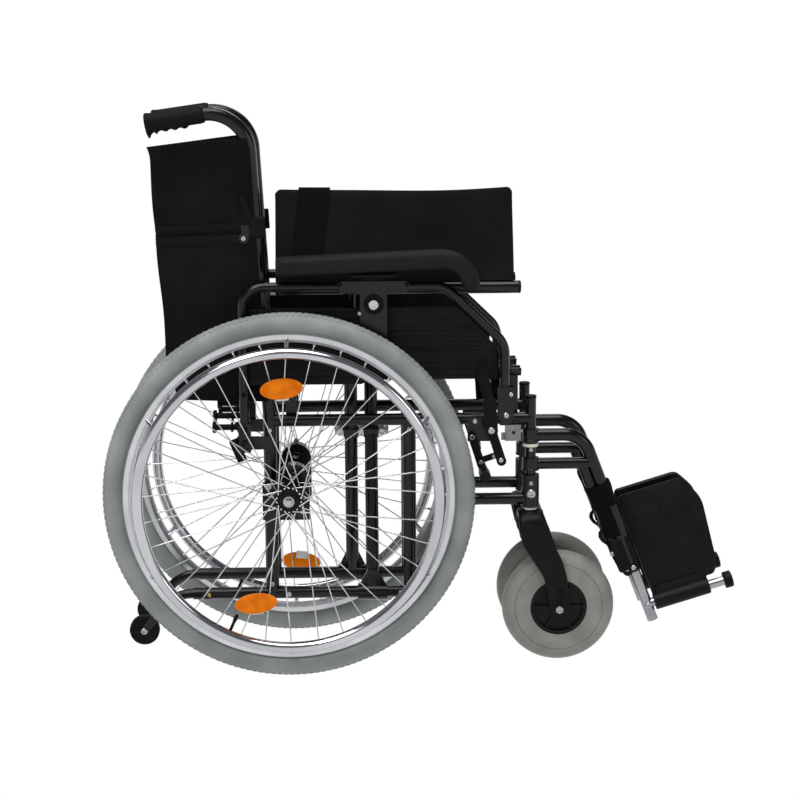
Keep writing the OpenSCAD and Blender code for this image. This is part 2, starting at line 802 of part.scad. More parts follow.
module foot_tube() {
    a = main_end - foot_in * main_dir;
    rod = hinge_at + rod_len * hinge_dir;
    cap = hinge_at + (rod_len + cap_len) * hinge_dir;
    bar([a.x, 0, a.y], [foot_end.x, 0, foot_end.y], foot_tube_d);
    bar([hinge_at.x, 0, hinge_at.y], [rod.x, 0, rod.y], rod_d);
    bar([rod.x, 0, rod.y], [cap.x, 0, cap.y], cap_d);
}

module footplate() {
    right = plate_start + plate_w;
    translate([hinge_at.x, 0, hinge_at.y]) rotate([0, -hinge_tilt, 0]) rotate([-plate_lean, 0, 0]) {
        difference() {
            union() {
                translate([plate_start, 0, 0]) rotate([0, 90, 0])
                    cylinder(d = barrel_d, h = barrel_end - plate_start);
                translate([0, plate_t / 2, 0]) rotate([90, 0, 0]) linear_extrude(plate_t)
                    polygon([
                        [plate_start + 1, 5], [barrel_end - 1, 5], [barrel_end - 1, 17], [right - 20, 17],
                        [right - 8, 34], [right, plate_len - 42], [right - 25, plate_len],
                        [plate_start - 4, plate_len], [plate_start - 8, plate_len - 6]
                    ]);
            }
            translate([-1, 0, 0]) rotate([0, 90, 0]) cylinder(d = rod_d + 2 * running, h = rod_len + 4);
        }
    }
}

// ---------- anti-tippers ----------

module anti_tip_tube() {
    x0 = -rail_tail;
    c = [x0 - 22, lower_rail_z - tip_arc_r];
    end = c + tip_arc_r * [cos(146), sin(146)];
    bar([x0 - 22, 0, lower_rail_z], [x0 + tip_plug, 0, lower_rail_z], tip_tube_d);
    bar([x0 - 20, 0, lower_rail_z], [x0 - clear, 0, lower_rail_z], rail_d);
    bend(c, tip_arc_r, tip_tube_d, 90, 146);
    for (s = [0, 1]) mirror([0, s, 0]) plate_y(-6, -10)
        strap(end + [4, 6], [-tip_x, tip_z], 14);
    pin_y(-tip_x, tip_z, 8, 9, -9);
}

module anti_tip_wheel() {
    translate([-tip_x, 0, tip_z]) turned() translate([4 + running, -5.5])
        square([tip_wheel_d / 2 - 4 - running, 11]);
}

// ---------- pieces ----------

color("#1b1b1d") right_side() side_frame();  // side_frame_right
color("#1b1b1d") left_side() side_frame();  // side_frame_left
color("#8c8f93") right_side() rear_axle();  // rear_axle_right
color("#8c8f93") left_side() rear_axle();  // rear_axle_left
color("#c9ccd0") right_side() axle_button();  // axle_button_right
color("#c9ccd0") left_side() axle_button();  // axle_button_left
color("#202124") right_side() at_wheel() rear_hub();  // rear_hub_right
color("#202124") left_side() at_wheel() rear_hub();  // rear_hub_left
color("#d4d6d8") right_side() at_wheel() spokes();  // spokes_right
color("#d4d6d8") left_side() at_wheel() spokes();  // spokes_left
color("#c3c6c8") right_side() at_wheel() rear_rim();  // rear_rim_right
color("#c3c6c8") left_side() at_wheel() rear_rim();  // rear_rim_left
color("#989c9a") right_side() at_wheel() rear_tyre();  // rear_tyre_right
color("#989c9a") left_side() at_wheel() rear_tyre();  // rear_tyre_left
color("#d9dbde") right_side() at_wheel() handrim();  // handrim_right
color("#d9dbde") left_side() at_wheel() handrim();  // handrim_left
color("#2a2b2d") right_side() caster_fork();  // caster_fork_right
color("#2a2b2d") left_side() caster_fork();  // caster_fork_left
color("#1f2022") right_side() at_caster() caster_rim();  // caster_rim_right
color("#1f2022") left_side() at_caster() caster_rim();  // caster_rim_left
color("#b9bab2") right_side() at_caster() caster_tyre();  // caster_tyre_right
color("#b9bab2") left_side() at_caster() caster_tyre();  // caster_tyre_left
color("#1b1b1d") at_axle() brace_front();
color("#1b1b1d") at_axle() brace_rear();
color("#c9ccd0") at_axle() brace_bolt();
color("#131315") at_axle() seat_cloth();  // seat_cloth_right
color("#131315") mirror([0, 1, 0]) at_axle() seat_cloth();  // seat_cloth_left
color("#131315")  // back_cloth_low_right
    right_side() back_cloth(back_cloth_z, back_joint_z - cloth_gap, post_d / 2 + clear);
color("#131315")  // back_cloth_low_left
    left_side() back_cloth(back_cloth_z, back_joint_z - cloth_gap, post_d / 2 + clear);
color("#1b1b1d") right_side() push_cane();  // push_cane_right
color("#1b1b1d") left_side() push_cane();  // push_cane_left
color("#18181a") right_side() push_grip();  // push_grip_right
color("#18181a") left_side() push_grip();  // push_grip_left
color("#202124") right_side() back_catch();  // back_catch_right
color("#202124") left_side() back_catch();  // back_catch_left
color("#131315")  // back_cloth_top_right
    right_side() back_cloth(back_joint_z + cloth_gap, handle_z - cloth_drop, post_d / 2 + cane_cloth_gap);
color("#131315")  // back_cloth_top_left
    left_side() back_cloth(back_joint_z + cloth_gap, handle_z - cloth_drop, post_d / 2 + cane_cloth_gap);
color("#1b1b1d") right_side() arm_frame();  // arm_frame_right
color("#1b1b1d") left_side() arm_frame();  // arm_frame_left
color("#232325") right_side() side_guard();  // side_guard_right
color("#232325") left_side() side_guard();  // side_guard_left
color("#3a3b3d") right_side() arm_pad();  // arm_pad_right
color("#3a3b3d") left_side() arm_pad();  // arm_pad_left
color("#202124") right_side() brake_lever();  // brake_lever_right
color("#202124") left_side() brake_lever();  // brake_lever_left
color("#202124") right_side() brake_shoe();  // brake_shoe_right
color("#202124") left_side() brake_shoe();  // brake_shoe_left
color("#1b1b1d") right_side() hanger();  // hanger_right
color("#1b1b1d") left_side() hanger();  // hanger_left
color("#b9bcc0") right_side() hanger_latch();  // hanger_latch_right
color("#b9bcc0") left_side() hanger_latch();  // hanger_latch_left
color("#d4d6d8") right_side() foot_tube();  // foot_tube_right
color("#d4d6d8") left_side() foot_tube();  // foot_tube_left
color("#28282a") right_side() footplate();  // footplate_right
color("#28282a") left_side() footplate();  // footplate_left
color("#1b1b1d") right_side() anti_tip_tube();  // anti_tip_tube_right
color("#1b1b1d") left_side() anti_tip_tube();  // anti_tip_tube_left
color("#202124") right_side() anti_tip_wheel();  // anti_tip_wheel_right
color("#202124") left_side() anti_tip_wheel();  // anti_tip_wheel_left
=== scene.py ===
import math

import bpy
from mathutils import Matrix, Vector


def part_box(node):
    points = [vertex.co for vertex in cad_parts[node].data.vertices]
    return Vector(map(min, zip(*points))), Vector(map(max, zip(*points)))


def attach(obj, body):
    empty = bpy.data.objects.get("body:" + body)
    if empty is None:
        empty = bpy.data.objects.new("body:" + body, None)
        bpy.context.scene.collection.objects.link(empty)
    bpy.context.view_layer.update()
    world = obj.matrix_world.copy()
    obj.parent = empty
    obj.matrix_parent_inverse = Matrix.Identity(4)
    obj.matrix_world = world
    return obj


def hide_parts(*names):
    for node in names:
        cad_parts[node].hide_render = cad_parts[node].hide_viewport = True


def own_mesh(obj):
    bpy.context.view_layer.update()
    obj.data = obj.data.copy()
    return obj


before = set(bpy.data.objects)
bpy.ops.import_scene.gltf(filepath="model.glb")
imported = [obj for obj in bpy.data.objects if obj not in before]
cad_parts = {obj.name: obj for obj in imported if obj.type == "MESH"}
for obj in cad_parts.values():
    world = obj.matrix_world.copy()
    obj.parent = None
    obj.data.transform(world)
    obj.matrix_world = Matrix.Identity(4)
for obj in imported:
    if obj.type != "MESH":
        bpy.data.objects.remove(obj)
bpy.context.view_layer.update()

# ---------- Camera ----------
# A long lens at standing height, looking at the right-hand side of the chair from a little behind
# the middle, turned down by eleven degrees.
bpy.ops.object.camera_add()
camera = bpy.context.object
camera.name = "camera"
camera.data.lens = 87.1
camera.matrix_world = (
    Matrix.Translation((-0.115, -3.2185, 1.0663))
    @ Matrix.Rotation(math.radians(-1.395), 4, "Z")
    @ Matrix.Rotation(math.radians(78.99), 4, "X")
    @ Matrix.Rotation(math.radians(-0.35), 4, "Z")
)
bpy.context.scene.camera = camera

# ---------- Studio ----------
# A table of white acrylic lit from below, so that nothing casts a shadow on it, under a wide overhead
# light, with softer lights in front and behind. The surround is white at the horizon and darker above.
bpy.ops.mesh.primitive_plane_add(size=60)
floor = bpy.context.object
floor.name = "floor"
acrylic = bpy.data.materials.new("lit white acrylic")
acrylic.use_nodes = True
glow = acrylic.node_tree.nodes["Principled BSDF"]
glow.inputs["Base Color"].default_value = (0, 0, 0, 1)
glow.inputs["Specular IOR Level"].default_value = 0
glow.inputs["Emission Color"].default_value = (1, 1, 1, 1)
glow.inputs["Emission Strength"].default_value = 1.0
floor.data.materials.append(acrylic)

world = bpy.data.worlds.new("white surround")
bpy.context.scene.world = world
world.use_nodes = True
sky = world.node_tree.nodes.new("ShaderNodeTexCoord")
height = world.node_tree.nodes.new("ShaderNodeSeparateXYZ")
shade = world.node_tree.nodes.new("ShaderNodeValToRGB")
shade.color_ramp.elements[0].position = 0.04
shade.color_ramp.elements[0].color = (1, 1, 1, 1)
shade.color_ramp.elements[1].position = 0.30
shade.color_ramp.elements[1].color = (0.16, 0.16, 0.17, 1)
backdrop = world.node_tree.nodes["Background"]
world.node_tree.links.new(sky.outputs["Generated"], height.inputs["Vector"])
world.node_tree.links.new(height.outputs["Z"], shade.inputs["Fac"])
world.node_tree.links.new(shade.outputs["Color"], backdrop.inputs["Color"])
backdrop.inputs["Strength"].default_value = 1.05
bpy.ops.object.light_add(type="SUN", location=(0, 0, 4), rotation=(math.radians(12), math.radians(-8), 0))
overhead = bpy.context.object
overhead.name = "overhead light"
overhead.data.energy = 2.9
overhead.data.angle = math.radians(50)
bpy.context.scene.view_settings.view_transform = "Standard"
for lamp, size, power, place in (
    ("key light", 1.3, 46, (-1.6, -3.0, 3.2)),
    ("fill light", 1.2, 14, (2.6, -2.2, 1.8)),
    ("back light", 1.6, 26, (0.4, 2.6, 3.0)),
):
    bpy.ops.object.light_add(type="AREA", location=place)
    light = bpy.context.object
    light.name = lamp
    light.data.size = size
    light.data.energy = power
    light.rotation_euler = (Vector((0, 0, 0.45)) - Vector(place)).to_track_quat("-Z", "Y").to_euler()

# ---------- Side frames ----------
# Each side frame is welded from round steel tube: a lower rail that climbs to the front post, an
# upper rail, and rear and middle posts. It is powder-coated gloss black after welding.
tyre_low, tyre_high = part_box("rear_tyre_right")
AXLE_X = (tyre_low.x + tyre_high.x) / 2
FRAME_Y = 0.060
POST_X = 402
SEAT_RAIL_R = 0.0105
SIDES = ((-1, "right"), (1, "left"))


def spot(side, forward, outward, up):
    """A point given in millimetres ahead of the rear axle, outside the side frame and above the floor."""
    return Vector((AXLE_X + forward / 1000, side * (FRAME_Y + outward / 1000), up / 1000))


def coated(name, dark, light, rough, metal=0.0, patch=30.0, grain=900.0, depth=0.03, coat=0.0, spread=0.08,
           gloss=0.5):
    """A finish whose colour drifts in soft patches, with a fine grain in its shine and relief."""
    material = bpy.data.materials.new(name)
    material.use_nodes = True
    nodes, links = material.node_tree.nodes, material.node_tree.links
    shader = nodes["Principled BSDF"]
    place = nodes.new("ShaderNodeTexCoord")
    drift = nodes.new("ShaderNodeTexNoise")
    drift.inputs["Scale"].default_value = patch
    drift.inputs["Detail"].default_value = 5.0
    tint = nodes.new("ShaderNodeValToRGB")
    tint.color_ramp.elements[0].position = 0.35
    tint.color_ramp.elements[0].color = (*dark, 1)
    tint.color_ramp.elements[1].position = 0.68
    tint.color_ramp.elements[1].color = (*light, 1)
    shine = nodes.new("ShaderNodeMapRange")
    shine.inputs["To Min"].default_value = max(rough - spread, 0.03)
    shine.inputs["To Max"].default_value = rough + spread
    fine = nodes.new("ShaderNodeTexNoise")
    fine.inputs["Scale"].default_value = grain
    fine.inputs["Detail"].default_value = 3.0
    relief = nodes.new("ShaderNodeBump")
    relief.inputs["Strength"].default_value = depth
    relief.inputs["Distance"].default_value = 0.001
    links.new(place.outputs["Object"], drift.inputs["Vector"])
    links.new(place.outputs["Object"], fine.inputs["Vector"])
    links.new(drift.outputs["Fac"], tint.inputs["Fac"])
    links.new(tint.outputs["Color"], shader.inputs["Base Color"])
    links.new(drift.outputs["Fac"], shine.inputs["Value"])
    links.new(shine.outputs["Result"], shader.inputs["Roughness"])
    links.new(fine.outputs["Fac"], relief.inputs["Height"])
    links.new(relief.outputs["Normal"], shader.inputs["Normal"])
    shader.inputs["Metallic"].default_value = metal
    shader.inputs["Specular IOR Level"].default_value = gloss
    shader.inputs["Coat Weight"].default_value = coat
    shader.inputs["Coat Roughness"].default_value = 0.12
    return material


def finish(material, *nodes):
    """Gives CAD nodes their finish."""
    for node in nodes:
        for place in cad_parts[node].material_slots:
            place.material = material


black_coat = coated("black powder coat", (0.0010, 0.0011, 0.0013), (0.0024, 0.0025, 0.0029), 0.22,
                    patch=18, grain=1400, depth=0.05, gloss=0.32)
bright_zinc = coated("zinc plated steel", (0.30, 0.31, 0.33), (0.48, 0.49, 0.51), 0.32, 1.0, 60, 1500, 0.05)
finish(black_coat, "side_frame_right", "side_frame_left")


def added(name, operator, **shape):
    """A new piece, started from one of Blender's own shapes."""
    bpy.ops.object.select_all(action="DESELECT")
    operator(**shape)
    bpy.context.object.name = name
    return bpy.context.object


def opened(piece):
    """Selects one piece alone, with all of its mesh selected for editing."""
    bpy.ops.object.select_all(action="DESELECT")
    piece.select_set(True)
    bpy.context.view_layer.objects.active = piece
    bpy.ops.object.mode_set(mode="EDIT")
    bpy.ops.mesh.select_all(action="SELECT")


def closed(piece, crisp):
    """Turns a piece's faces outwards and smooths it, apart from edges sharper than crisp degrees."""
    bpy.ops.mesh.select_all(action="SELECT")
    bpy.ops.mesh.normals_make_consistent(inside=False)
    bpy.ops.object.mode_set(mode="OBJECT")
    bpy.ops.object.shade_smooth_by_angle(angle=math.radians(crisp))
    return piece


def turned(name, rings, sides=32, crisp=35):
    """A turned piece about +Z, from rings of (height, radius) in millimetres, bottom first."""
    piece = added(name, bpy.ops.mesh.primitive_circle_add, vertices=sides, radius=rings[0][1] / 1000, fill_type="NGON")
    opened(piece)
    bpy.ops.transform.translate(value=(0, 0, rings[0][0] / 1000))
    for (low, wide), (high, next_wide) in zip(rings, rings[1:]):
        bpy.ops.mesh.extrude_region_move(TRANSFORM_OT_translate={"value": (0, 0, (high - low) / 1000)})
        bpy.ops.transform.resize(value=(next_wide / wide, next_wide / wide, 1))
    return closed(piece, crisp)


def copied(model, name):
    """A second piece made to the same pattern, with its own mesh."""
    twin = model.copy()
    twin.data = model.data.copy()
    twin.name = name
    bpy.context.scene.collection.objects.link(twin)
    return twin


def fixed(piece, place, facing, body, material, slot):
    """Puts a piece made about +Z in its place, facing a direction, on a body."""
    turn = Vector((0, 0, 1)).rotation_difference(Vector(facing)).to_matrix().to_4x4()
    piece.data.transform(Matrix.Translation(place) @ turn)
    return coat(piece, material, slot, body)


def fastened(model, name, size, place, facing, body, material=bright_zinc, slot="steel"):
    """Puts a scaled copy of a screw, rivet, nut or plug in its place on a body."""
    head = copied(model, name)
    head.data.transform(Matrix.Scale(size, 4))
    return fixed(head, place, facing, body, material, slot)


def coat(piece, material, slot, body):
    """Gives a finished piece its material and the body it rides on; its slot is not used."""
    piece.data.materials.clear()
    piece.data.materials.append(material)
    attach(piece, body)
    return piece


# Zinc-plated socket screws and dome rivets hold the fittings to the tubes.
screw = turned("screw_pattern", [(0, 4), (2.4, 4), (3.2, 3.3), (3.2, 1.8), (1.4, 1.8)], 24)
rivet = turned("rivet_pattern", [(0, 3.6), (0.8, 3.6), (1.7, 2.6), (2.1, 1.2), (2.2, 0.4)], 20)
for side, hand in SIDES:
    for k, (x, y, z, model, size) in enumerate((
        (183, 10, 122, screw, 1.0), (-5, 10, 122, screw, 1.0), (-35, 30, 314, screw, 1.3),
        (402, 15, 293, screw, 1.9), (402, 15, 310, screw, 0.9), (402, 9, 366, rivet, 1.0),
        (199, 11, 404, rivet, 1.1), (-33, 11, 404, rivet, 1.1), (199, 11, 140, rivet, 1.1),
        (-33, 11, 140, rivet, 1.1), (358, 38, 431, rivet, 1.3), (366, 38, 466, rivet, 1.0),
        (308, 14, 417, screw, 1.0), (340, 14, 390, screw, 0.9), (-5, 30, 270, screw, 1.0),
        (20, 30, 270, screw, 1.0), (6, 30, 352, rivet, 1.2),
    )):
        fastened(model, f"frame_screw_{k}_{hand}", size, spot(side, x, y, z), (0, side, 0), f"frame_{hand}")

# The end of each seat rail is closed by a pushed-in plastic plug, and the front post by a domed cap.
plug_plastic = coated("moulded black plastic", (0.0016, 0.0017, 0.0019), (0.0036, 0.0036, 0.0040), 0.45, gloss=0.10,
                      patch=45, grain=1800, depth=0.12)
PLASTIC = (plug_plastic, "plastic_black")
plug = turned("plug_pattern", [(-2, 9.6), (0.5, 10.6), (3.0, 10.6), (4.4, 9.0), (5.0, 5.0)], 32)
for side, hand in SIDES:
    brace = "brace_front" if side > 0 else "brace_rear"
    low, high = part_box(brace)
    seat_y = high.y - SEAT_RAIL_R if side > 0 else low.y + SEAT_RAIL_R
    seat_z = high.z - SEAT_RAIL_R
    for end, x, way in (("front", high.x, 1), ("rear", low.x, -1)):
        fixed(copied(plug, f"seat_rail_plug_{end}_{hand}"), Vector((x, seat_y, seat_z)), (way, 0, 0), brace,
              *PLASTIC)
    fastened(plug, f"post_cap_{hand}", 0.9, spot(side, POST_X, 0, 454), (0, 0, 1), f"frame_{hand}", *PLASTIC)
    # A pale nylon bush sits on the post, under and between the hanger collars, beside a bright locking ring that is not
    # made here.
    bush = turned(f"post_bush_{hand}", [(0, 9.4), (0, 12.5), (1, 13.2), (4.6, 13.2), (5.4, 12.5), (5.4, 9.4)], 36)
    fixed(bush, spot(side, POST_X, 0, 371), (0, 0, 1), f"frame_{hand}",
          coated(f"pale nylon {hand}", (0.55, 0.52, 0.42), (0.68, 0.65, 0.55), 0.5, patch=80), "latch_zinc")

# ---------- Cross braces ----------
# Two steel tubes with sleeves on the lower rails and the seat rails welded across their tops. They
# pivot on one long zinc-plated bolt through both.
finish(black_coat, "brace_front", "brace_rear")
finish(bright_zinc, "brace_bolt")
hex_nut = turned("hex_nut_pattern", [(0, 8), (5.2, 8), (6.4, 7.1), (6.4, 4.4), (4.0, 4.4)], 6, 30)
bolt_low, bolt_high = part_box("brace_bolt")
bolt_z = (bolt_low.z + bolt_high.z) / 2
for end, x, way in (("front", bolt_high.x - 0.001, 1), ("rear", bolt_low.x + 0.001, -1)):
    fixed(copied(hex_nut, f"brace_nut_{end}"), Vector((x, 0, bolt_z)), (way, 0, 0), "brace_front", bright_zinc, "steel")

# ---------- Casters ----------
# A moulded black fork on a steel stem carries a grey solid tyre on a six-web black rim. The axle is a
# zinc-plated bolt through two holes of the fork.
fork_black = coated("satin black casting", (0.0018, 0.0019, 0.0021), (0.0036, 0.0037, 0.0040), 0.40,
                    patch=25, grain=1500, depth=0.10, gloss=0.12)
rim_black = coated("moulded rim", (0.0030, 0.0030, 0.0034), (0.0062, 0.0062, 0.0068), 0.42, patch=60, grain=1600,
                   depth=0.1, gloss=0.14)
caster_grey = coated("pale grey solid tyre", (0.150, 0.154, 0.136), (0.210, 0.213, 0.190), 0.42, gloss=0.3,
                     patch=22, grain=900, depth=0.15)
finish(rim_black, "caster_rim_right", "caster_rim_left")
finish(caster_grey, "caster_tyre_right", "caster_tyre_left")
CASTER = (450, 95)
# A near-black finish used as painted shadow in the fork's axle holes.
hole_shadow = coated("shadow in a drilled hole", (0.0010, 0.0010, 0.0010), (0.0016, 0.0016, 0.0016), 0.8, gloss=0.05)


def shaped(name, steps, sides, lie):
    """A closed column of rings, each point moved to where lie(step, angle) puts it."""
    column = turned(name, [(step, 10) for step in range(steps)], sides, 60)
    for point in column.data.vertices:
        point.co = lie(point.co.z * 1000, math.atan2(point.co.y, point.co.x))
    opened(column)
    return closed(column, 50)


def between(value, table):
    """The height of a smooth line through a few (place, height) pairs."""
    for (low, first), (high, second) in zip(table, table[1:]):
        if value <= high:
            share = min(max((value - low) / (high - low), 0), 1)
            return first + (second - first) * share
    return table[-1][1]


collar = turned("collar_pattern", [(0, 12.5), (0.6, 13.4), (3.8, 13.4), (4.6, 12.5)], 8, 30)
for side, hand in SIDES:
    for face, out, way in (("outer", 30, side), ("inner", -30, -side)):
        fastened(hex_nut, f"caster_nut_{face}_{hand}", 0.9, spot(side, CASTER[0], out, CASTER[1]), (0, way, 0),
                 f"caster_fork_{hand}")
    fixed(copied(collar, f"stem_nut_{hand}"), spot(side, POST_X, 0, 263), (0, 0, 1), f"frame_{hand}", bright_zinc,
          "steel")

    # The fork is one casting: a blade swept up from the axle, over the crown and down the other side.
    def fork_lie(step, angle, side=side):
        over = step / 30 - 1
        run = min(abs(over) * 1.42, 1.42)
        if run > 0.34:
            share = (run - 0.34) / 1.08
            up, out = 240 - 162 * share, 26.2
        else:
            turn = run / 0.34 * math.pi / 2
            up, out = 240 + 17 * math.cos(turn), 26.2 * math.sin(turn)
        centre = between(up, ((78, 48), (107, 48), (148, 42), (176, 29.5), (204, 13.5), (235, 5), (257, 0)))
        half = between(up, ((78, 5), (80, 10), (84, 14.5), (90, 17), (107, 18), (148, 19.2), (176, 24), (204, 27),
                            (235, 25.5), (257, 21)))
        thick = between(up, ((78, 3.8), (160, 4.0), (215, 5.5), (240, 7.5), (257, 8.0)))
        wide, deep = math.cos(angle), math.sin(angle)
        wide = math.copysign(abs(wide) ** 0.75, wide) * half
        deep = math.copysign(abs(deep) ** 0.55, deep) * thick
        tilt = math.pi / 2 - (min(run / 0.34, 1.0) * math.pi / 2)
        way = 1 if over > 0 else -1
        return spot(side, POST_X + centre + wide, way * (out + deep * math.cos(tilt)) if run > 0.001 else 0,
                    up + deep * math.sin(tilt))

    fork = shaped(f"caster_fork_casting_{hand}", 61, 28, fork_lie)
    coat(fork, fork_black, "fork_black", f"caster_fork_{hand}")
    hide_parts(f"caster_fork_{hand}")
    cup = turned(f"fork_bearing_cup_{hand}",
                 [(-12, 12), (-10, 17), (-4, 19.5), (-1, 21.4), (5.5, 22), (6.6, 21), (6.8, 13)], 48)
    fixed(cup, spot(side, POST_X, 0, 254), (0, 0, 1), f"caster_fork_{hand}", fork_black, "fork_black")
    stem = turned(f"fork_stem_{hand}", [(0, 6), (2, 7), (20, 7), (22, 6)], 32)
    fixed(stem, spot(side, POST_X, 0, 250), (0, 0, 1), f"caster_fork_{hand}", bright_zinc, "steel")
    # Each axle hole is a dark disc on the outer face of the blade: painted shadow standing in for the shade inside the
    # hole.
    for k, up in enumerate((109, 127)):
        eye = turned(f"fork_axle_hole_shadow_{k}_{hand}", [(0, 4.2), (0.5, 4.2), (0.5, 3.2), (0.05, 3.0)], 24)
        fixed(eye, spot(side, 450, 30, up), (0, side, 0), f"caster_fork_{hand}", hole_shadow, "fork_black")
    dust_cap = turned(f"caster_dust_cap_{hand}", [(0, 14), (1.5, 15), (4, 15), (6.5, 12.5), (7.5, 8), (7.5, 4.2)], 40)
    fixed(dust_cap, spot(side, CASTER[0], 13, CASTER[1]), (0, side, 0), f"caster_wheel_{hand}", rim_black, "hub_black")

# ---------- Rear wheels ----------
# A satin aluminium rim laced with crossed stainless spokes to a black hub. The grey tyre has fine
# teeth moulded round both shoulders.
alloy = coated("satin aluminium", (0.50, 0.51, 0.53), (0.66, 0.67, 0.69), 0.30, 1.0, 14, 1200, 0.05)
chrome = coated("bright chrome", (0.46, 0.47, 0.49), (0.56, 0.57, 0.59), 0.10, 1.0, 10, 300, 0.01, spread=0.04)
stainless = coated("stainless spoke", (0.50, 0.51, 0.52), (0.70, 0.71, 0.72), 0.24, 1.0, 40, 1500, 0.03)
tyre_grey = coated("grey tyre rubber", (0.185, 0.203, 0.197), (0.250, 0.268, 0.260), 0.62, gloss=0.2,
                   patch=16, grain=700, depth=0.18)
finish(alloy, "rear_rim_right", "rear_rim_left")
finish(chrome, "handrim_right", "handrim_left")
finish(stainless, "spokes_right", "spokes_left")
finish(tyre_grey, "rear_tyre_right", "rear_tyre_left")
finish(rim_black, "rear_hub_right", "rear_hub_left")
finish(bright_zinc, "rear_axle_right", "rear_axle_left", "axle_button_right", "axle_button_left")
WHEEL_OUT, WHEEL_UP = 66, 305


def ringed(piece, count):
    """Repeats a piece made about the origin's +Y axle into a full ring of count."""
    opened(piece)
    bpy.ops.mesh.spin(steps=count, dupli=True, angle=math.tau, center=(0, 0, 0), axis=(0, 1, 0))
    bpy.ops.mesh.select_all(action="SELECT")
    bpy.ops.mesh.remove_doubles(threshold=0.00002)
    bpy.ops.mesh.normals_make_consistent(inside=False)
    bpy.ops.object.mode_set(mode="OBJECT")
    return piece


def placed(piece, place, body, material, slot):
    """Puts a piece made about the origin in its place, unturned, on a body."""
    piece.data.transform(Matrix.Translation(place))
    return coat(piece, material, slot, body)


def block(name, size, bevel, segments=2):
    """A block about the origin with its edges rounded; size and bevel in millimetres."""
    piece = added(name, bpy.ops.mesh.primitive_cube_add, size=0.001)
    piece.data.transform(Matrix.Diagonal((*size, 1)))
    opened(piece)
    bpy.ops.mesh.bevel(offset=bevel / 1000, segments=segments, profile=0.6, affect="EDGES")
    bpy.ops.object.mode_set(mode="OBJECT")
    bpy.ops.object.shade_smooth_by_angle(angle=math.radians(40))
    return piece


def joined(piece, others):
    """Makes one piece of several."""
    bpy.ops.object.select_all(action="DESELECT")
    for other in others:
        other.select_set(True)
    bpy.context.view_layer.objects.active = piece
    bpy.ops.object.join()
    return piece


# Tread teeth stand in three rows round the tyre: one on each shoulder and a finer one on the crown.
teeth = []
for row, (across, lift, long, wide, lean) in enumerate(((-9.6, 302.1, 6.0, 3.2, 34), (9.6, 302.1, 6.0, 3.2, -34),
                                                       (0, 304.6, 6.5, 7.0, 0))):
    tooth = block(f"tooth_{row}", (long, wide, 1.6), 0.35, 1)
    tooth.data.transform(Matrix.Translation((0, across / 1000, lift / 1000))
                         @ Matrix.Rotation(math.radians(lean), 4, "X"))
    teeth.append(ringed(tooth, 180))
tread = joined(teeth[0], teeth)

# Brass nipples hold the spokes in the rim, and their heads sit in the hub flanges; here both are given the stainless
# spoke finish.
nipple = turned("nipple_pattern", [(252, 1.6), (255, 2.3), (261, 2.6), (263, 2.2)], 10, 60)
nipples = ringed(nipple, 36)
spoke_head = turned("spoke_head_pattern", [(0, 1.9), (0.9, 1.7), (1.5, 0.8)], 10, 60)
spoke_head.data.transform(Matrix.Translation((0, 0.0255, 0.020)) @ Matrix.Rotation(math.radians(-90), 4, "X"))
spoke_heads = ringed(spoke_head, 18)

# The quick-release axle ends in a black cap with a square bright push button.
hub_cap = turned("hub_cap_pattern",
                 [(0, 14.5), (2.0, 15.0), (3.5, 13.5), (5.0, 12.5), (9.5, 12.2), (11, 11), (11, 9.4)], 40)
push_button = block("push_button_pattern", (10, 10, 5), 1.4)

valve = turned("valve_pattern", [(-6, 3.1), (0, 3.1), (3, 2.6), (22, 2.6), (22.5, 3.4), (33, 3.4), (34, 2.4)], 16)

# Each reflector is a honeycomb moulding of clear orange plastic clipped across two spokes.
amber = coated("orange reflector", (0.42, 0.085, 0.0008), (0.62, 0.155, 0.0012), 0.22, patch=40, grain=420,
               depth=0.8, gloss=0.10)
# The orange plastic is also made to glow faintly: a painted glow standing in for the light the reflector sends back.
lit = amber.node_tree.nodes["Principled BSDF"].inputs
lit["Emission Color"].default_value = (1.0, 0.24, 0.001, 1)
lit["Emission Strength"].default_value = 0.16
clip_white = coated("pale clip plastic", (0.62, 0.62, 0.60), (0.74, 0.74, 0.72), 0.4, patch=60)
lens = added("reflector_pattern", bpy.ops.mesh.primitive_cylinder_add, vertices=48, radius=0.0165, depth=0.006)
for corner in lens.data.vertices:
    corner.co.x *= 2.12
    corner.co.y *= 1.03
opened(lens)
bpy.ops.mesh.bevel(offset=0.0016, segments=3, affect="EDGES")
bpy.ops.object.mode_set(mode="OBJECT")
bpy.ops.object.shade_smooth_by_angle(angle=math.radians(35))
prism = turned("prism_pattern", [(0, 1.75), (0.35, 1.75), (0.75, 1.15)], 6, 20)
prisms = []
for i in range(-11, 12):
    for j in range(-5, 6):
        x, y = i * 3.15 + (j % 2) * 1.57, j * 2.75
        if abs(x) > 21.5 - y * 0.13 and (x / 33) ** 2 + (y / 15) ** 2 < 0.86:
            cell = copied(prism, f"prism_{i}_{j}")
            cell.data.transform(Matrix.Translation((x / 1000, y / 1000, 0.0029)))
            prisms.append(cell)
bars = block("reflector_panel", (38, 29, 1.6), 0.6, 2)
for corner in bars.data.vertices:
    corner.co.x *= 1 + corner.co.y * 7
bars.data.transform(Matrix.Translation((0, 0, 0.0032)))
joined(lens, prisms + [bars, lens])

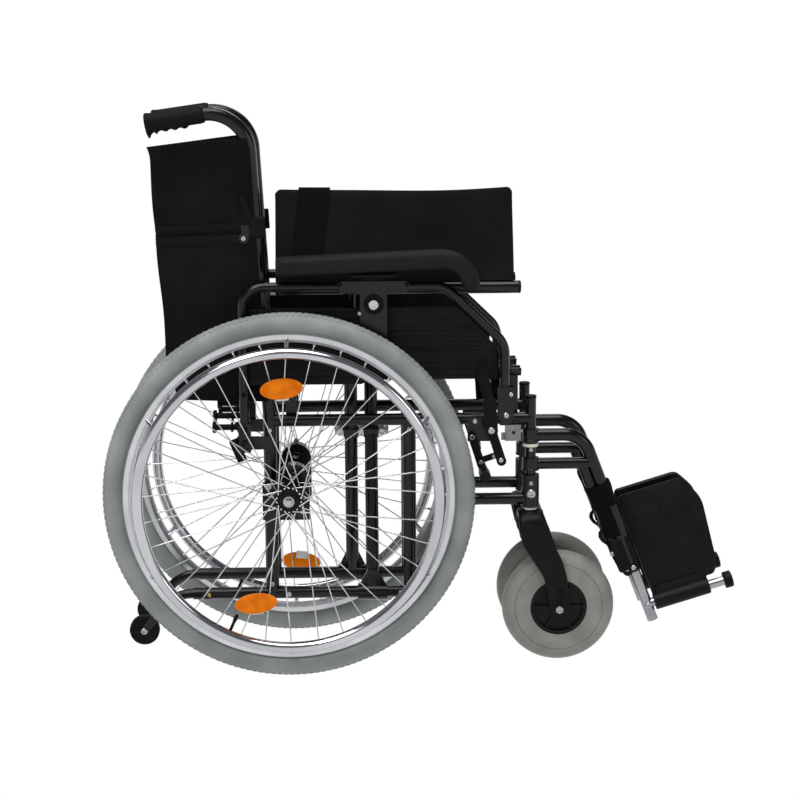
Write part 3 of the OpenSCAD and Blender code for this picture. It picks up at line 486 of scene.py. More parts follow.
for side, hand in SIDES:
    centre = spot(side, 0, WHEEL_OUT, WHEEL_UP)
    body = f"wheel_{hand}"
    placed(copied(tread, f"tyre_tread_{hand}"), centre, body, tyre_grey, "tyre_grey")
    placed(copied(nipples, f"spoke_nipples_{hand}"), centre, body, stainless, "spoke_steel")
    heads = copied(spoke_heads, f"spoke_heads_{hand}")
    if side < 0:
        heads.data.transform(Matrix.Rotation(math.pi, 4, "Z"))
    placed(heads, centre, body, stainless, "spoke_steel")
    fixed(copied(hub_cap, f"hub_cap_{hand}"), spot(side, 0, WHEEL_OUT + 25.5, WHEEL_UP), (0, side, 0), body, rim_black,
          "hub_black")
    knob = copied(push_button, f"axle_push_button_{hand}")
    fixed(knob, spot(side, 0, WHEEL_OUT + 44.5, WHEEL_UP), (0, side, 0), f"axle_button_{hand}", bright_zinc, "steel")
    stem = copied(valve, f"valve_{hand}")
    fixed(stem, centre + Vector((-0.104, 0, -0.232)), (0.41, 0, 0.91), body, *PLASTIC)
    stations = ((93, 183, -5), (252, 186, -6)) if side < 0 else ((62, 183, -28), (273, 186, 6))
    for k, (angle, reach, tilt) in enumerate(stations):
        spoke_place = centre + Vector((math.cos(math.radians(angle)) * reach / 1000, side * 0.016,
                                       math.sin(math.radians(angle)) * reach / 1000))
        stand_up = Matrix.Translation(spoke_place) @ Matrix.Rotation(math.radians(tilt), 4, "Y") @ Matrix.Rotation(
            math.radians(90 * -side), 4, "X")
        oval = copied(lens, f"reflector_{k}_{hand}")
        oval.data.transform(stand_up)
        coat(oval, amber, "reflector", body)
        clip = block(f"reflector_clip_{k}_{hand}", (20, 13, 5), 1.2)
        clip.data.transform(stand_up @ Matrix.Translation((0, -0.014, -0.006)))
        coat(clip, clip_white, "reflector_clip", body)

for pattern in (tread, nipples, spoke_heads, hub_cap, push_button, valve, lens):
    bpy.data.objects.remove(pattern)

# ---------- Seat ----------
# The seat is one piece of black nylon, doubled over each seat rail. Folded up it stands in a sharp
# ridge between the rails, so each half is its own sheet, hinged on its rail.


def woven(name, rows=(), columns=(), base=(0.0028, 0.0029, 0.0033), lift=(0.0066, 0.0068, 0.0076), rough=0.7,
          thread=1600.0):
    """Nylon cloth: a plain weave in UV metres, with sewn rows across u and columns across v."""
    material = coated(name, base, lift, rough, patch=9, grain=1200, depth=0.1, gloss=0.045)
    nodes, links = material.node_tree.nodes, material.node_tree.links
    shader = nodes["Principled BSDF"]
    shader.inputs["Sheen Weight"].default_value = 0.02
    shader.inputs["Sheen Roughness"].default_value = 0.5
    place = nodes.new("ShaderNodeUVMap")
    apart = nodes.new("ShaderNodeSeparateXYZ")
    links.new(place.outputs["UV"], apart.inputs["Vector"])

    def sum_of(kind, first, second):
        step = nodes.new("ShaderNodeMath")
        step.operation = kind
        for socket, value in ((0, first), (1, second)):
            if isinstance(value, (int, float)):
                step.inputs[socket].default_value = value
            else:
                links.new(value, step.inputs[socket])
        return step.outputs[0]

    u, v = apart.outputs["X"], apart.outputs["Y"]
    warp = sum_of("SINE", sum_of("MULTIPLY", u, thread * 2.4), 0)
    weft = sum_of("SINE", sum_of("MULTIPLY", v, thread * 2.4), 0)
    height = sum_of("MULTIPLY", sum_of("MULTIPLY", warp, weft), 0.18)
    for along, across, lines in ((u, v, rows), (v, u, columns)):
        for line in lines:
            gap = sum_of("ABSOLUTE", sum_of("SUBTRACT", across, line), 0)
            on_line = sum_of("LESS_THAN", gap, 0.00065)
            dash = sum_of("GREATER_THAN", sum_of("SINE", sum_of("MULTIPLY", along, 2 * math.pi / 0.0042), 0), -0.35)
            groove = sum_of("SUBTRACT", 1, sum_of("MINIMUM", sum_of("DIVIDE", gap, 0.0028), 1))
            height = sum_of("ADD", height, sum_of("MULTIPLY", sum_of("MULTIPLY", on_line, dash), 1.6))
            height = sum_of("SUBTRACT", height, sum_of("MULTIPLY", groove, 1.5))
    weave = nodes.new("ShaderNodeBump")
    weave.inputs["Strength"].default_value = 0.6
    weave.inputs["Distance"].default_value = 0.0005
    links.new(height, weave.inputs["Height"])
    links.new(nodes["Bump"].outputs["Normal"], weave.inputs["Normal"])
    links.new(weave.outputs["Normal"], shader.inputs["Normal"])
    return material


def laid(name, long, wide, steps, lie, thick=2.2):
    """A sheet of cloth cut long by wide, in millimetres, whose points lie where lie(along, across) puts them."""
    sheet = added(name, bpy.ops.mesh.primitive_grid_add, x_subdivisions=steps[0], y_subdivisions=steps[1], size=1)
    for face_corner, mark in zip(sheet.data.loops, sheet.data.uv_layers.active.data):
        flat = sheet.data.vertices[face_corner.vertex_index].co
        mark.uv = ((flat.x + 0.5) * long / 1000, (flat.y + 0.5) * wide / 1000)
    for point in sheet.data.vertices:
        point.co = lie((point.co.x + 0.5) * long, (point.co.y + 0.5) * wide)
    wall = sheet.modifiers.new("thickness", "SOLIDIFY")
    wall.thickness = thick / 1000
    wall.offset = 0
    bpy.ops.object.modifier_apply(modifier=wall.name)
    bpy.ops.object.shade_smooth_by_angle(angle=math.radians(50))
    return sheet


seat_nylon = woven("black seat nylon", rows=(0.014, 0.021), columns=(0.009, 0.383, 0.377))
strap_web = woven("black webbing", rows=(0.003, 0.049), base=(0.0022, 0.0022, 0.0023), lift=(0.0042, 0.0042, 0.0044),
                  rough=0.9, thread=700)
SEAT_RISE = math.radians(72.73)
SEAT_LONG, SEAT_WIDE = 392, 190
SEAT_RAIL_Y, SEAT_SLEEVE_R = 0.05606, 0.0116
for side, hand in SIDES:
    rail_body = f"seat_cloth_{hand}"
    low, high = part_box(rail_body)
    rail_y = side * SEAT_RAIL_Y

    def seat_lie(along, across, side=side, low=low, rail_y=rail_y):
        # from the outside of the rail, over it, and up to the ridge
        x = low.x - 0.006 + along / 1000
        reach = across - 14
        if reach < 0:
            turn = reach / 11.6 - 0.3
            return Vector((x, rail_y + side * SEAT_SLEEVE_R * math.sin(turn), seat_z + SEAT_SLEEVE_R * math.cos(turn)))
        share = reach / 176
        wave = math.sin(share * math.pi) * (
            2.2 * math.sin(along / 44 + 1.3 * share) + 1.3 * math.sin(along / 19 + 4 * share) + 3.0)
        pull = 5.0 * share * math.sin(math.pi * along / 381) + 1.2 * math.sin(along / 52 + 2) * share
        inward = math.cos(SEAT_RISE) * reach + 3.2 * max(share - 0.97, 0) / 0.03 - 4.0 * (1 - share) - wave * 0.55
        corner = max(1 - along / 9, 0) ** 2 + max(1 - (SEAT_LONG - along) / 7, 0) ** 2
        upward = math.sin(SEAT_RISE) * reach * 0.945 - pull + 9.5 * (1 - share) + wave * 0.1 - 7 * corner * share ** 8
        return Vector((x, rail_y - side * min(max(inward, -11), 56) / 1000, seat_z + upward / 1000))

    half = laid(f"seat_cloth_sheet_{hand}", SEAT_LONG, SEAT_WIDE, (98, 56), seat_lie)
    coat(half, seat_nylon, "nylon", rail_body)
    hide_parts(rail_body)

    # A webbing strap is sewn over the ridge to lift and fold the seat by.
    def strap_lie(along, across, side=side, lie=seat_lie):
        up = SEAT_WIDE - along
        point = lie(19.4 + across + up * 0.102, up)
        return point + Vector((0, side * 0.0026, 0.0042 * max(1 - along / 14, 0)))

    strap = laid(f"seat_strap_{hand}", 128, 52, (42, 8), strap_lie, 1.8)
    coat(strap, strap_web, "nylon", rail_body)

# ---------- Back ----------
# The back is black nylon sewn into a sleeve round each post, with a double-stitched band across it.
# Folded, it stands out behind as a ridge, so each half is its own sheet, above and below the band.
BACK_CLOTH = {"low": woven("lower back nylon", rows=(0.262, 0.279), columns=(0.014, 0.044, 0.057)),
              "top": woven("upper back nylon", rows=(0.011, 0.139), columns=(0.014, 0.044, 0.057))}
BACK_TURN = math.radians(72.65)
LEAN = math.radians(3.2)
POST_BACK, SLEEVE_R = 33, 12.3
HANDLE_TOP, HANDLE_R = 925, 66
for side, hand in SIDES:
    for part, body, bottom, top in (("low", f"back_cloth_low_{hand}", 454, 737),
                                    ("top", f"back_cloth_top_{hand}", 738, 886)):
        tall = top - bottom

        def back_lie(along, across, side=side, bottom=bottom):
            # along runs from the post out to the ridge, across runs up
            up = bottom + across
            cane = -POST_BACK - (up - 430) * math.tan(LEAN)
            if up > 862:
                cane -= HANDLE_R - math.sqrt(max(HANDLE_R ** 2 - (up - 862) ** 2, 0))
            reach = along - 16
            if reach < 0:
                turn = reach / SLEEVE_R
                return spot(side, cane - SLEEVE_R * math.sin(turn + 1.2) * 0.3 + SLEEVE_R * (1 - math.cos(turn)),
                            SLEEVE_R * math.cos(turn), up)
            share = reach / 190
            ruck = math.sin(math.pi * min(share * 1.15, 1)) * (
                2.0 * math.sin(across / 17 + 2.6 * share) + 1.4 * math.sin(across / 7.5 + 7 * share + side)
                + 2.2 * math.sin(share * 9 + across / 60))
            near_band = math.exp(-((up - 738) / 26) ** 2)
            ruck *= 0.35 + 0.65 * (1 - near_band)
            billow = 5.5 * math.sin(math.pi * share) * (1 - 0.8 * near_band)
            rolls = sum(5.2 * math.sqrt(max(1 - ((up - middle) / 8.2) ** 2, 0)) for middle in (724.5, 741.5))
            rolls *= min(share * 5, 1) * min((1.02 - share) * 12, 1)
            drop = share * (9 + 3 * (up - 454) / 290 if up < 745 else 12 + 5 * (up - 745) / 138)
            pulled = 0.925 - 0.075 * max((530 - up) / 76, 0)
            back = math.sin(BACK_TURN) * reach * pulled
            inward = -SLEEVE_R * (1 - share) ** 2 + math.cos(BACK_TURN) * reach + ruck * 0.55 + 1.5 * share
            hem = 1.6 if abs(along - 50) < 7 else 0
            return spot(side, cane - back - (1.5 * math.sin(across / 31) * share),
                        -min(inward - billow - (rolls + hem) * 0.9, 59.2), up - drop)

        panel = laid(f"back_cloth_sheet_{part}_{hand}", 206, tall, (64, 140 if part == "low" else 74), back_lie, 2.4)
        coat(panel, BACK_CLOTH[part], "nylon", body)
        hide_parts(body)
        if part == "top":
            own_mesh(panel)

# The push handles are the tops of the back posts, bent rearwards. Each ends in a soft black grip with
# finger waves along its underside.
grip_rubber = coated("soft black rubber", (0.0018, 0.0019, 0.0021), (0.0040, 0.0041, 0.0044), 0.55, gloss=0.10,
                     patch=50, grain=1300, depth=0.35)
finish(black_coat, "push_cane_right", "push_cane_left")
DROP = math.radians(8)
bend_z = HANDLE_TOP - HANDLE_R
foot_z = bend_z + HANDLE_R * math.sin(LEAN)
foot_x = -(POST_BACK + 294 * math.tan(LEAN)) - (foot_z - 724) * math.tan(LEAN)
bend_x = foot_x - HANDLE_R * math.cos(LEAN)
end_x = bend_x + HANDLE_R * math.cos(math.pi / 2 + DROP)
end_z = bend_z + HANDLE_R * math.sin(math.pi / 2 + DROP)
for side, hand in SIDES:
    waves = [(2, 12.2), (3, 13.6), (7, 14.4)]
    waves += [(8 + k * 1.5, 14.6) for k in range(1, 54)]
    waves += [(91, 14.9), (94, 15.4), (96.4, 15.4), (98.4, 14.0), (99, 11.0), (99, 2.0)]
    grip = turned(f"push_grip_piece_{hand}", waves, 48, 60)
    for point in grip.data.vertices:
        # finger waves show only underneath, and the end turns down in a lip
        along, under = point.co.z * 1000, -point.co.x / 0.0146
        if under > 0:
            if 30 < along < 88:
                point.co.x -= (0.0028 * (0.5 + 0.5 * math.cos((along - 36) / 15.5 * math.tau)) + 0.0014) * under ** 1.5
            point.co.x -= 0.0105 * max(1 - abs(along - 95) / 8, 0) * under ** 2
    grip.data.transform(Matrix.Translation(spot(side, end_x, 0, end_z)) @ Matrix.Rotation(-math.pi / 2 - DROP, 4, "Y")
                        @ Matrix.Translation((0, 0, -0.005)))
    coat(grip, grip_rubber, "grip_rubber", f"push_cane_{hand}")
    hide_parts(f"push_grip_{hand}")

    # The folding joint is freed by a pressed lever on a rivet, with a plain bracket over its hinge.
    finish(plug_plastic, f"back_catch_{hand}")
    fastened(rivet, f"back_catch_rivet_{hand}", 1, spot(side, -54.4, -15.4, 766), (0, -side, 0), f"push_cane_{hand}")
    for face, out in (("out", 10.2), ("in", -10.2)):
        fastened(screw, f"back_joint_screw_{face}_{hand}", 1, spot(side, -69.4, out, 724),
                 (0, side if out > 0 else -side, 0), f"push_cane_{hand}")
    bracket = block(f"back_joint_bracket_{hand}", (26, 5, 34), 2.2, 3)
    bracket.data.transform(Matrix.Rotation(-LEAN, 4, "Y"))
    placed(bracket, spot(side, -46, 12, 742), f"push_cane_{hand}", *PLASTIC)
    lever = block(f"back_joint_lever_{hand}", (9, 4, 40), 1.8, 3)
    lever.data.transform(Matrix.Rotation(math.radians(-24), 4, "Y"))
    placed(lever, spot(side, -62, 13, 772), f"push_cane_{hand}", *PLASTIC)

# ---------- Armrests ----------
# A bent steel tube on a rear pivot carries a ribbed plastic side guard. The grey foam pad is moulded
# on a steel plate whose post slides in the frame and is held by one large screw.
guard_plastic = coated("grained black plastic", (0.0040, 0.0042, 0.0047), (0.0072, 0.0074, 0.0080), 0.5, gloss=0.09,
                       patch=30, grain=1500, depth=0.4)
pad_foam = coated("dark grey moulded foam", (0.0052, 0.0055, 0.0060), (0.0088, 0.0092, 0.0100), 0.6, gloss=0.13,
                  patch=26, grain=850, depth=0.5)
finish(black_coat, "arm_frame_right", "arm_frame_left")
finish(guard_plastic, "side_guard_right", "side_guard_left")
post_steel = coated("black steel bar", (0.0016, 0.0017, 0.0019), (0.0034, 0.0035, 0.0038), 0.42, gloss=0.12,
                    patch=40, grain=1500, depth=0.06)
finish(post_steel, "arm_pad_right", "arm_pad_left")
washer = turned("washer_pattern", [(0, 16), (1.2, 16.6), (2.4, 16.0), (2.6, 9)], 40)
for side, hand in SIDES:
    pad = added(f"arm_pad_foam_{hand}", bpy.ops.mesh.primitive_cube_add, size=1)
    opened(pad)
    bpy.ops.mesh.subdivide(number_cuts=23)
    bpy.ops.object.mode_set(mode="OBJECT")
    for point in pad.data.vertices:
        along, over, up = point.co.x + 0.5, point.co.y * 2, point.co.z + 0.5
        # the section is a soft lozenge: full at the middle, falling to rounded edges
        end = min(along / 0.035, (1 - along) / 0.045, 1)
        shrink = math.sqrt(max(1 - (1 - max(end, 0.0)) ** 2, 0.0)) * 0.35 + 0.65
        squeeze = 1 - 0.13 * abs(up * 2 - 1) ** 4
        half = 23.6 * squeeze * shrink
        thick = 30.0 * (1 - 0.16 * abs(over) ** 4) * (0.78 + 0.22 * shrink)
        lift = 15 + (up - 0.5) * thick + (1.2 * (1 - over * over) if up > 0.5 else 0)
        run = along * 344
        if run < 272:
            x, base, turn = -17 + run, 665 + run * 11 / 272, 0.0
        else:
            turn = (run - 272) / 44
            x, base = 255 + 30 * math.sin(turn), 676 - 30 * (1 - math.cos(turn))
        point.co = spot(side, x + lift * math.sin(turn), 36.5 + over * half, base + lift * math.cos(turn))
    opened(pad)
    bpy.ops.mesh.normals_make_consistent(inside=False)
    bpy.ops.object.mode_set(mode="OBJECT")
    round_off = pad.modifiers.new("moulded", "SUBSURF")
    round_off.levels = round_off.render_levels = 1
    bpy.ops.object.modifier_apply(modifier=round_off.name)
    bpy.ops.object.shade_smooth_by_angle(angle=math.radians(60))
    coat(pad, pad_foam, "pad_foam", f"arm_pad_{hand}")
    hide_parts(f"arm_pad_{hand}")

    post = block(f"arm_pad_post_{hand}", (34, 9, 106), 1.6, 3)
    placed(post, spot(side, 141, 28, 618), f"arm_pad_{hand}", post_steel, "frame_paint")
    foot = block(f"arm_pad_plate_{hand}", (74, 26, 7), 2.2, 3)
    placed(foot, spot(side, 141, 32, 665), f"arm_pad_{hand}", post_steel, "frame_paint")
    disc = copied(washer, f"pad_washer_{hand}")
    fixed(disc, spot(side, 141, 37.2, 618), (0, side, 0), f"arm_{hand}", *PLASTIC)
    fastened(screw, f"pad_screw_{hand}", 2.3, spot(side, 141, 39.2, 618), (0, side, 0), f"arm_{hand}", chrome, "chrome")
    for k, (x, out, z, size) in enumerate(((118, 37, 603, 0.8), (86, 38, 651, 1.2), (196, 38, 651, 1.2),
                                           (-73, 38, 412, 1.2), (-73, 38, 390, 1.1), (-73, 36, 470, 1.1))):
        fastened(rivet if z > 640 else screw, f"arm_screw_{k}_{hand}", size, spot(side, x, out, z), (0, side, 0),
                 f"arm_{hand}", *((bright_zinc, "steel") if k == 0 else PLASTIC))
    # The guard is stiffened by shallow ribs along it and a rolled rim along its top.
    for k, (z, x0, x1) in enumerate(((606, -80, 262), (575, -60, 300), (548, -60, 318), (522, -60, 326),
                                     (493, -80, 330))):
        rib = block(f"guard_rib_{k}_{hand}", (x1 - x0, 3.0, 7 if z not in (606, 493) else 5), 1.3, 3)
        placed(rib, spot(side, (x0 + x1) / 2, 21.4, z), f"arm_{hand}", guard_plastic, "guard_plastic")
    for k, z in enumerate((427, 412)):
        # the rear pivot bracket is locked by a flanged plunger that points rearwards
        plunger = turned(f"axle_plunger_{k}_{hand}",
                         [(0, 5), (12, 5), (13, 8.5), (16, 8.5), (17, 5), (40, 5), (41, 9.5), (46, 9.5), (47, 7)], 28)
        fixed(plunger, spot(side, -80, -6 + 22 * k, z), (-1, 0, 0), f"frame_{hand}", *PLASTIC)
    fin = block(f"plunger_fin_{hand}", (16, 9, 40), 3.2, 3)
    fin.data.transform(Matrix.Rotation(math.radians(-22), 4, "Y"))
    placed(fin, spot(side, -86, 14, 372), f"frame_{hand}", *PLASTIC)

# ---------- Brakes ----------
# Each brake is a moulded lever on a steel plate under the upper rail. A toggle drives a peg against the
# tyre.
finish(plug_plastic, "brake_lever_right", "brake_lever_left", "brake_shoe_right", "brake_shoe_left")
for side, hand in SIDES:
    handle = turned(f"brake_handle_{hand}", [(0, 6.2), (2, 8.2), (40, 9.6), (50, 9.2), (56, 6.5), (58, 2.5)], 28)
    handle.data.transform(Matrix.Diagonal((1.0, 0.62, 1, 1)))
    handle.data.transform(Matrix.Translation(spot(side, 328.5, 43, 458)) @ Matrix.Rotation(math.radians(-12), 4, "Y"))
    coat(handle, *PLASTIC, f"brake_lever_{hand}")
    for k, (x, out, z, body, size) in enumerate(((333, 47, 408, "brake_lever", 1.4), (349, 47, 358, "brake_lever", 1.0),
                                                 (303, 22, 392, "brake_shoe", 1.1), (318, 22, 349, "brake_shoe", 1.0),
                                                 (339, 22, 359, "brake_shoe", 0.9))):
        fastened(screw, f"brake_screw_{k}_{hand}", size, spot(side, x, out, z), (0, side, 0), f"{body}_{hand}")
    sleeve = turned(f"brake_peg_sleeve_{hand}", [(0, 8.4), (1, 9.2), (34, 9.2), (35, 8.4), (35, 3)], 32)
    fixed(sleeve, spot(side, 321, 48, 338), (0, side, 0), f"brake_shoe_{hand}", fork_black, "fork_black")

# ---------- Front rigging ----------
# Two steel tubes curve down from the front post to a clamped sleeve that holds the chromed foot tube.
# The hanger swings out when its zinc latch is pressed.
finish(black_coat, "hanger_right", "hanger_left")
foot_steel = coated("satin chromed steel", (0.26, 0.27, 0.29), (0.38, 0.39, 0.41), 0.24, 1.0, 18, 1400, 0.05)
finish(foot_steel, "foot_tube_right", "foot_tube_left")
latch_grey = coated("dull cast zinc", (0.16, 0.17, 0.18), (0.26, 0.27, 0.28), 0.42, 1.0, 60, 900, 0.2)
finish(latch_grey, "hanger_latch_right", "hanger_latch_left")
TILT = math.radians(21)
down = Vector((math.sin(TILT), 0, -math.cos(TILT)))
top_x, top_z = 458 + 45 * math.cos(TILT), 345 + 45 * math.sin(TILT)
calf_web = woven("calf strap webbing", rows=(0.006, 0.088), columns=(0.020, 0.038), base=(0.0022, 0.0022, 0.0023),
                 lift=(0.0046, 0.0046, 0.0048), rough=0.85, thread=1100)
plate_plastic = coated("ribbed plate plastic", (0.0022, 0.0023, 0.0026), (0.0044, 0.0045, 0.0050), 0.45, gloss=0.12,
                       patch=30, grain=1300, depth=0.25)
HINGE, HINGE_TILT = (602.86, 0, 93.19), math.radians(17)


def cut_plate(name, corners, thick, rim):
    """A plate with rounded corners in the XZ plane, from (x, z, corner radius), centred on its thickness."""
    outline = []
    for k, (x, z, rounding) in enumerate(corners):
        here = Vector((x, z))
        ahead = Vector(corners[(k + 1) % len(corners)][:2]) - here
        behind = Vector(corners[k - 1][:2]) - here
        rounding = min(rounding, 0.46 * ahead.length, 0.46 * behind.length)
        ahead, behind = ahead.normalized(), behind.normalized()
        first, last = here + behind * rounding, here + ahead * rounding
        for step in range(6):
            t = step / 5
            outline.append(first * (1 - t) ** 2 + here * 2 * t * (1 - t) + last * t * t)
    plate = added(name, bpy.ops.mesh.primitive_circle_add, vertices=len(outline), radius=1, fill_type="NGON")
    for point, (x, z) in zip(plate.data.vertices, outline):
        point.co = Vector((x, -thick / 2, z)) / 1000
    opened(plate)
    bpy.ops.mesh.extrude_region_move(TRANSFORM_OT_translate={"value": (0, thick / 1000, 0)})
    bpy.ops.mesh.select_all(action="SELECT")
    bpy.ops.mesh.normals_make_consistent(inside=False)
    bpy.ops.mesh.select_all(action="DESELECT")
    bpy.ops.mesh.edges_select_sharp(sharpness=math.radians(60))
    bpy.ops.mesh.bevel(offset=rim / 1000, segments=2, affect="EDGES", clamp_overlap=True)
    bpy.ops.object.mode_set(mode="OBJECT")
    bpy.ops.object.shade_smooth_by_angle(angle=math.radians(32))
    return plate


for side, hand in SIDES:
    def hung(along, aside=0.0, out=0.0, side=side):
        """A point down the hanger's sloping tube, in millimetres from its bend."""
        return spot(side, top_x + along * down.x - aside * down.z, out, top_z + along * down.z + aside * down.x)

    band = turned(f"hanger_clamp_{hand}", [(0, 12.6), (1, 14.6), (13, 14.6), (14, 12.6)], 40)
    fixed(band, hung(206), down, f"hanger_{hand}", *PLASTIC)
    fastened(screw, f"clamp_screw_{hand}", 1.1, hung(213, 0, 14.4), (0, side, 0), f"hanger_{hand}")
    for k, along in enumerate((112, 126)):
        hole = turned(f"adjust_hole_{k}_{hand}", [(0, 3.4), (0.6, 3.4), (0.6, 2.4), (0.1, 2.2)], 20)
        fixed(hole, hung(along, 0, 12.7), (0, side, 0), f"hanger_{hand}", bright_zinc, "steel")

    # A bent wire hook under the clamp lets the hanger be lifted out.
    def hook_lie(step, angle, side=side):
        share = step / 16
        route = ((527, 229), (521, 222), (521, 213), (527, 205), (537, 198), (544, 188), (553, 176))
        place = share * (len(route) - 1)
        k = min(int(place), len(route) - 2)
        x = route[k][0] + (route[k + 1][0] - route[k][0]) * (place - k)
        z = route[k][1] + (route[k + 1][1] - route[k][1]) * (place - k)
        thick = 2.9 + 2.2 * share
        return spot(side, x + thick * math.cos(angle), 4 + thick * math.sin(angle), z)

    hook = shaped(f"hanger_hook_{hand}", 17, 16, hook_lie)
    coat(hook, *PLASTIC, f"hanger_{hand}")
    for k, (x, z) in enumerate(((541, 185), (566, 158))):
        fastened(screw, f"hook_screw_{k}_{hand}", 1, spot(side, x, 9, z), (0, side, 0), f"hanger_{hand}")
    lever = cut_plate(f"hook_lever_{hand}",
                      ((535, 190, 5), (548, 196, 5), (580, 150, 6), (566, 143, 6), (549, 163, 6)), 8, 1.6)
    placed(lever, spot(side, 0, 3.5, 0), f"hanger_{hand}", *PLASTIC)
    for k, z in enumerate((390, 341)):
        weld = turned(f"hanger_collar_{k}_{hand}", [(0, 14.1), (0.6, 14.8), (3, 14.8), (3.6, 14.1)], 40)
        fixed(weld, spot(side, POST_X, 0, z - 11), (0, 0, 1), f"hanger_{hand}", black_coat, "frame_paint")

    # The lower tube runs down behind the main one, and both end in a moulded housing over the clamp.
    rear_tube = turned(f"hanger_rear_tube_{hand}", [(-2, 4), (0, 9.4), (178, 9.4), (180, 4)], 36)
    fixed(rear_tube, hung(14, -17.5), down, f"hanger_{hand}", black_coat, "frame_paint")
    housing = block(f"hanger_housing_{hand}", (37, 27, 62), 6.5, 4)
    housing.data.transform(Matrix.Rotation(-TILT, 4, "Y"))
    placed(housing, hung(186, -6.2), f"hanger_{hand}", *PLASTIC)

    # A webbing calf strap is looped over each sloping tube and hangs down behind it.
    def calf_lie(along, across, side=side, hung=hung):
        turn = along / 112 * math.tau
        belly = 1 + 0.05 * math.sin(across / 15 + 1) + 0.025 * math.sin(across / 5)
        deep = math.copysign(abs(math.cos(turn)) ** 0.8, math.cos(turn))
        return hung(57 + across + 2 * math.sin(turn), -6.5 + 19.6 * deep * belly, 13.2 * math.sin(turn))

    loop = laid(f"calf_strap_{hand}", 112, 94, (56, 32), calf_lie, 2.0)
    coat(loop, calf_web, "nylon", f"hanger_{hand}")

    # The chromed foot tube ends in the plate's hinge rod, closed by a black mushroom cap.
    rod_way = Vector((math.cos(HINGE_TILT), 0, math.sin(HINGE_TILT)))
    cap_at = spot(side, *HINGE) + rod_way * 0.137
    bumper = turned(f"rod_cap_{hand}", [(-1.5, 8.2), (-0.8, 13.0), (0.8, 14.1), (12.1, 14.1), (13.2, 12.8),
                                        (14.2, 8.5), (14.6, 2.5)], 40)
    fixed(bumper, cap_at, rod_way, f"foot_tube_{hand}", *PLASTIC)
    end_plug = turned(f"foot_tube_plug_{hand}", [(-3, 7.2), (0, 9.3), (1.2, 9.4), (2.0, 8.2)], 36)
    fixed(end_plug, hung(314), down, f"foot_tube_{hand}", foot_steel, "chrome")
    for face, out in (("outer", 9.0), ("inner", -9.0)):
        fastened(screw, f"plate_hinge_screw_{face}_{hand}", 1.25, spot(side, 603.5, out, 94),
                 (0, side if out > 0 else -side, 0), f"foot_tube_{hand}")

    # The footplate turns on a thick moulded barrel. Ribs run up it to stop the shoe sliding.
    def stood(piece, lean=math.radians(12), side=side, hand=hand):
        piece.data.transform(Matrix.Translation(spot(side, *HINGE)) @ Matrix.Rotation(-HINGE_TILT, 4, "Y")
                             @ Matrix.Rotation(side * lean, 4, "X"))
        return coat(piece, plate_plastic, "plate_plastic", f"footplate_{hand}")

    barrel = turned(f"plate_barrel_{hand}",
                    [(13, 8.15), (13, 12.6), (14.5, 13.9), (108.5, 13.9), (110, 12.6), (110, 8.15)], 56)
    barrel.data.transform(Matrix.Rotation(math.pi / 2, 4, "Y"))
    stood(barrel)
    panel = cut_plate(f"footplate_panel_{hand}",
                      ((14, 9, 1), (109, 9, 1), (110, 17, 2), (124, 17, 7), (134, 34, 14), (142, 148, 18),
                       (117, 190, 10), (9, 190, 5), (5, 184, 5)), 8.6, 1.5)
    stood(panel)
    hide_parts(f"footplate_{hand}")
    web = cut_plate(f"footplate_web_{hand}", ((18, 6, 1), (106, 6, 1), (100, 26, 6), (22, 26, 6)), 14.5, 3.2)
    stood(web)
    for k in range(7):
        low, high = (34 + 4 * (k == 6), 168 - 5 * abs(k - 3.4))
        for face, out in (("outer", 4.3), ("inner", -4.3)):
            rib = block(f"plate_rib_{face}_{k}_{hand}", (8.4, 1.6, high - low), 0.7, 2)
            rib.data.transform(Matrix.Translation((0.0265 + k * 0.0157, side * out / 1000, (high + low) / 2000)))
            stood(rib)

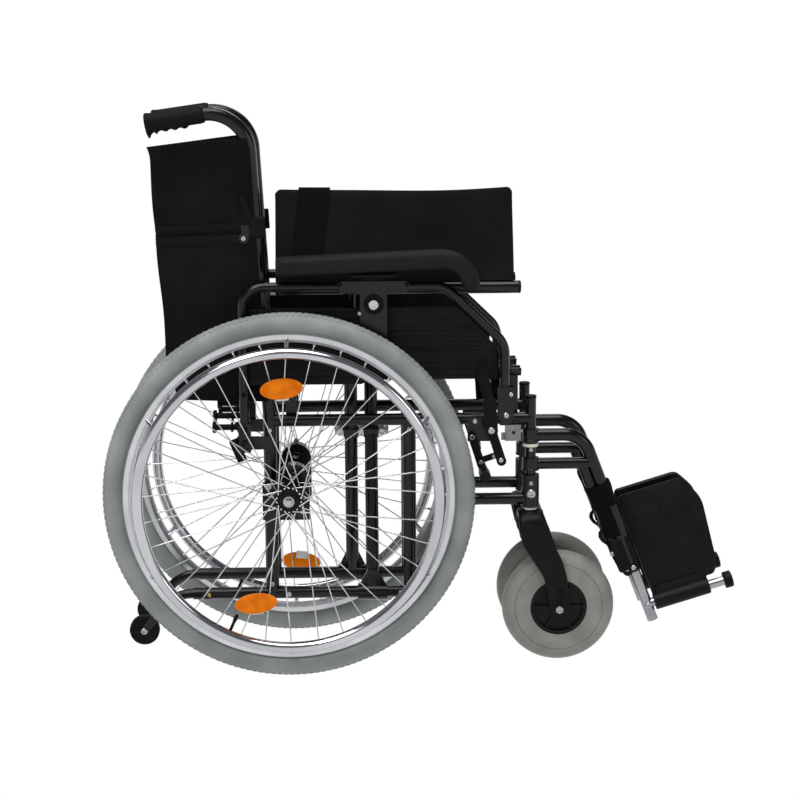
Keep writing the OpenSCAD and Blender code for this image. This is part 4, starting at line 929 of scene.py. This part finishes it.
# ---------- Anti-tippers ----------
# A short bent tube plugs into the rear end of each lower rail and is held by a sprung brass button. It
# carries a small three-web wheel.
brass = coated("brass button", (0.52, 0.34, 0.10), (0.68, 0.48, 0.18), 0.28, 1.0, 60, 900, 0.05)
finish(black_coat, "anti_tip_tube_right", "anti_tip_tube_left")
finish(rim_black, "anti_tip_wheel_right", "anti_tip_wheel_left")
TIP_WHEEL = (-251, 60)
for side, hand in SIDES:
    button = turned(f"snap_button_{hand}", [(0, 3.6), (1.6, 3.6), (2.8, 2.8), (3.3, 1.2)], 24)
    fixed(button, spot(side, -140, 9.9, 122), (0, side, 0), f"anti_tip_{hand}", brass, "latch_zinc")
    ring = turned(f"rail_end_ring_{hand}", [(0, 10.1), (0.6, 11.2), (6, 11.2), (6.6, 10.1)], 36)
    fixed(ring, spot(side, -147, 0, 122), (1, 0, 0), f"frame_{hand}", black_coat, "frame_paint")
    for face, out in (("outer", 9), ("inner", -9)):
        fastened(screw, f"tip_wheel_screw_{face}_{hand}", 1.35, spot(side, TIP_WHEEL[0], out, TIP_WHEEL[1]),
                 (0, side if out > 0 else -side, 0), f"anti_tip_{hand}")
    for k in range(3):
        web = block(f"tip_wheel_web_{k}_{hand}", (4, 3, 15), 1.0, 2)
        web.data.transform(Matrix.Rotation(math.radians(120 * k + 20), 4, "Y") @ Matrix.Translation((0, 0, 0.0145)))
        placed(web, spot(side, TIP_WHEEL[0], 5.2, TIP_WHEEL[1]), f"anti_tip_wheel_{hand}", rim_black, "plastic_black")
    tyre_band = turned(f"tip_wheel_tread_{hand}",
                       [(-6.5, 20), (-6.5, 23.4), (-5, 25.2), (5, 25.2), (6.5, 23.4), (6.5, 20)], 48)
    fixed(tyre_band, spot(side, TIP_WHEEL[0], 0, TIP_WHEEL[1]), (0, side, 0), f"anti_tip_wheel_{hand}", grip_rubber,
          "plastic_black")

# ---------- Ready ----------
# The patterns that the pieces were copied from are put away.
for pattern in (screw, rivet, plug, hex_nut, collar, prism, washer):
    bpy.data.objects.remove(pattern)
